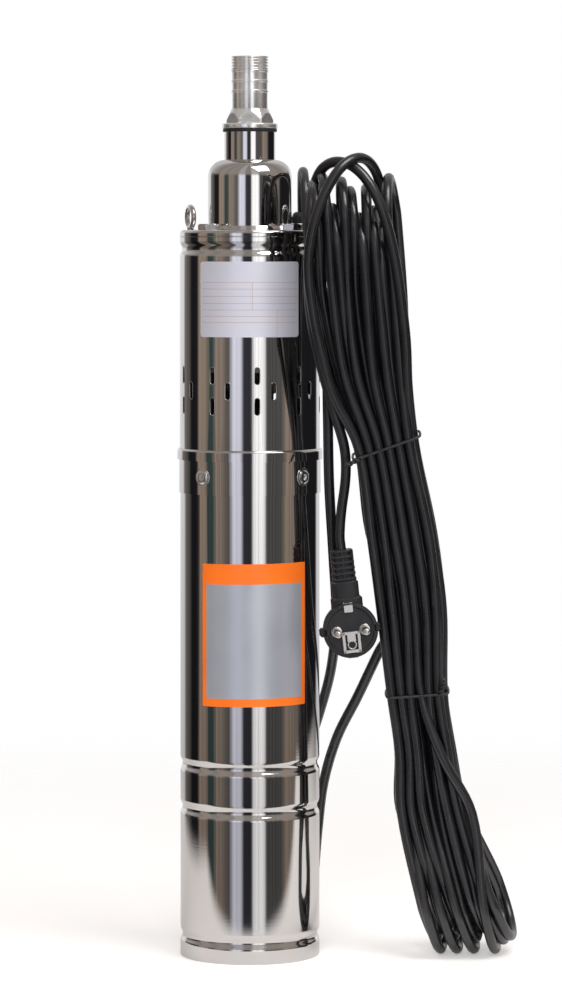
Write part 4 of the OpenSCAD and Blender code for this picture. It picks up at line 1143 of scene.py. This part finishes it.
def socket_screw(bm, place):
    """A button head on its washer, with a hexagon socket."""
    washer_r, washer_h, head_r, head_h, key_r, key_deep = 0.006, 0.0006, 0.0047, 0.0017, 0.0023, 0.0012
    crown_r, flat_r, segments = 0.0036, 0.0029, 48
    dome = filleted(
        (
            (washer_r, -0.0004, 0), (washer_r, washer_h, 0.0002), (head_r + 0.0002, washer_h, 0),
            (head_r, 0.0004, 0), (head_r, 0.001, 0.0003), (crown_r, head_h - 0.0001, 0.0012),
            (flat_r, head_h, 0),
        )
    )
    made = add_lathe(bm, dome, place, segments, closed=False)
    key = hexagon_radii(key_r, segments)
    rim = [bm.verts.new(p) for p in ring_round(place, key, head_h)]
    floor = [bm.verts.new(p) for p in ring_round(place, key, head_h - key_deep)]
    join_rings(bm, made[-1], rim)
    join_rings(bm, rim, floor)
    bm.faces.new(floor)


class PUMP_OT_fasteners(bpy.types.Operator):
    """Makes the socket screws of the joint sleeve and the nuts of the tie rods"""

    bl_idname = "pump.fasteners"
    bl_label = "Screws and nuts"

    def execute(self, context):
        bm = bmesh.new()
        for azimuth in SCREW_AZIMUTHS:
            turn = Matrix.Rotation(math.radians(azimuth), 4, "Z")
            seat = Matrix.Translation((0, -SCREW_SEAT_R, SCREW_Z))
            socket_screw(bm, turn @ seat @ Matrix.Rotation(math.pi / 2, 4, "X"))
        piece("sleeve_screws", bm, "turned_steel", ("joint_screws",), sharp=30)
        bm = bmesh.new()
        for azimuth in ROD_AZIMUTHS:
            turn = Matrix.Rotation(math.radians(azimuth), 4, "Z")
            place = Matrix.Translation(on_circle(azimuth, ROD_CIRCLE_R)) @ turn
            add_hexagon(
                bm, place, r=0.0075, z0=PLATE_TOP, z1=NUT_TOP, hole_r=0.00405, top=0.0009, foot=0.0003
            )
        piece("rod_nuts", bm, "turned_steel", ("tie_nuts",), sharp=28)
        return {"FINISHED"}


class PUMP_OT_gland(bpy.types.Operator):
    """Makes the ribbed cap nut of the cable gland"""

    bl_idname = "pump.gland"
    bl_label = "Cable gland"

    def execute(self, context):
        centre = (GLAND_LOW + GLAND_HIGH) / 2
        place = Matrix.Translation((centre.x, centre.y, 0))
        low, high, r = GLAND_LOW.z, GLAND_HIGH.z, GLAND_HIGH.x - centre.x
        bore, wall_r, shoulder = context.scene.pump_cable.diameter / 2 + 0.0001, r - 0.0006, 0.0034
        bm = bmesh.new()
        cap = filleted(((bore, low, 0), (wall_r, low, 0.0004), (wall_r, high, shoulder), (bore, high, 0)), 8)
        add_lathe(bm, cap, place, 72)
        ribs, rib_in, rib_lift = 18, 0.0009, 0.0004
        for i in range(ribs):
            turn = Matrix.Rotation(2 * math.pi * i / ribs, 4, "Z") @ Matrix.Translation((r - rib_in, 0, 0))
            add_block(
                bm, place @ turn, w=0.0016, d=0.0013, z0=low + rib_lift, z1=high - shoulder, r=0.0004,
                edge=0.0003,
            )
        piece("gland_cap", bm, "plug_plastic", ("gland_nut",))
        return {"FINISHED"}


class PUMP_OT_slot_rims(bpy.types.Operator):
    """Rounds the edges of the intake slots"""

    bl_idname = "pump.slot_rims"
    bl_label = "Slot rims"

    def execute(self, context):
        slot_w, slot_l, rows, pitch = 0.00375, 0.012, 3, 0.01035
        top_row, start, step, shift, columns = 0.3979, 6.3, 38, 13.7, 4
        rim_r, rim_seat = 0.0003, CASING_R - 0.0002
        outline = [
            (math.degrees(x / CASING_R), y) for x, y in rounded_rectangle(slot_w, slot_l, slot_w / 2, 5)
        ]
        rims = []
        for row in range(rows):
            z = top_row - row * pitch
            for column in range(-columns, columns + 1):
                azimuth = start + step * column + (shift if row == 1 else 0)
                rims.append([on_circle(azimuth + turn, rim_seat, z + y) for turn, y in outline])
        wire("slot_rims", rims, rim_r, "polished_steel", closed=True, steps=2, round_steps=2)
        return {"FINISHED"}


class PUMP_OT_plates(bpy.types.Operator):
    """Makes the bare ruled nameplate on the casing and the bare bordered sticker on the motor"""

    bl_idname = "pump.plates"
    bl_label = "Nameplate and sticker"

    def execute(self, context):
        left, right, foot, head = -43.3, 43.3, 0.424, 0.475
        on_casing, on_plate, on_tube, on_border = 0.0003, 0.00036, 0.0002, 0.00028
        bm = bmesh.new()
        add_patch(bm, CASING_R + on_casing, left, right, foot, head, corner=0.002, thick=0.0004)
        piece("nameplate", bm, "plate_satin")
        bm = bmesh.new()
        line, thick, ruling_r, side_gap, foot_gap = 0.00022, 0.0001, CASING_R + on_plate, 2, 0.001
        heights = (0.461, 0.4565, 0.4515, 0.4468, 0.4424, 0.438, 0.434)
        for z in heights:
            add_patch(bm, ruling_r, left + side_gap, right - side_gap, z - line / 2, z + line / 2, 0, thick)
        half = math.degrees(line / CASING_R) / 2
        for azimuth, z0, z1 in ((2.4, heights[4], heights[0]), (22.7, foot + foot_gap, heights[4])):
            add_patch(bm, ruling_r, azimuth - half, azimuth + half, z0, z1, 0, thick, columns=2)
        piece("nameplate_ruling", bm, "plate_ruling")
        left, right, foot, head, slant = -41.5, 51.5, 0.1745, 0.271, 0.0004
        bm = bmesh.new()
        add_patch(bm, TUBE_R + on_tube, left, right, foot, head, corner=0.001, thick=0.0003, slant=slant)
        piece("sticker_border", bm, "sticker_border")
        # The panel leaves the border showing by these widths, in degrees at its sides
        at_left, at_right, at_foot, at_head = 4, 4.6, 0.0054, 0.0138
        bm = bmesh.new()
        add_patch(
            bm, TUBE_R + on_border, left + at_left, right - at_right, foot + at_foot, head - at_head,
            corner=0.0006, thick=0.0002, slant=slant,
        )
        piece("sticker_panel", bm, "sticker_panel")
        return {"FINISHED"}


class PUMP_PT_sidebar(bpy.types.Panel):
    """Lists the pump's pieces and their sizes"""

    bl_idname = "PUMP_PT_sidebar"
    bl_label = "Borehole pump"
    bl_space_type = "VIEW_3D"
    bl_region_type = "UI"
    bl_category = "Pump"

    def draw(self, context):
        for group in SETTINGS:
            settings = getattr(context.scene, group)
            box = self.layout.box()
            for name in settings.__annotations__:
                box.prop(settings, name)
        for operator in OPERATORS:
            self.layout.operator(operator.bl_idname)


OPERATORS = (
    PUMP_OT_stage, PUMP_OT_plug, PUMP_OT_ties, PUMP_OT_cable, PUMP_OT_metal, PUMP_OT_outlet,
    PUMP_OT_head, PUMP_OT_fasteners, PUMP_OT_gland, PUMP_OT_slot_rims, PUMP_OT_plates,
)
SETTINGS = {
    "pump_body": PumpBodySettings, "pump_cable": PumpCableSettings,
    "pump_plug": PumpPlugSettings, "pump_stage": PumpStageSettings,
}
CLASSES = (*SETTINGS.values(), *OPERATORS, PUMP_PT_sidebar)


def register():
    for made in CLASSES:
        bpy.utils.register_class(made)
    for name, settings in SETTINGS.items():
        setattr(bpy.types.Scene, name, PointerProperty(type=settings))


def unregister():
    for name in SETTINGS:
        delattr(bpy.types.Scene, name)
    for made in reversed(CLASSES):
        bpy.utils.unregister_class(made)


def main():
    register()
    bpy.ops.pump.stage()
    bpy.ops.pump.plug()
    bpy.ops.pump.ties()
    bpy.ops.pump.cable()
    bpy.ops.pump.metal()
    bpy.ops.pump.outlet()
    bpy.ops.pump.head()
    bpy.ops.pump.fasteners()
    bpy.ops.pump.gland()
    bpy.ops.pump.slot_rims()
    bpy.ops.pump.plates()


if __name__ == "__main__":
    main()
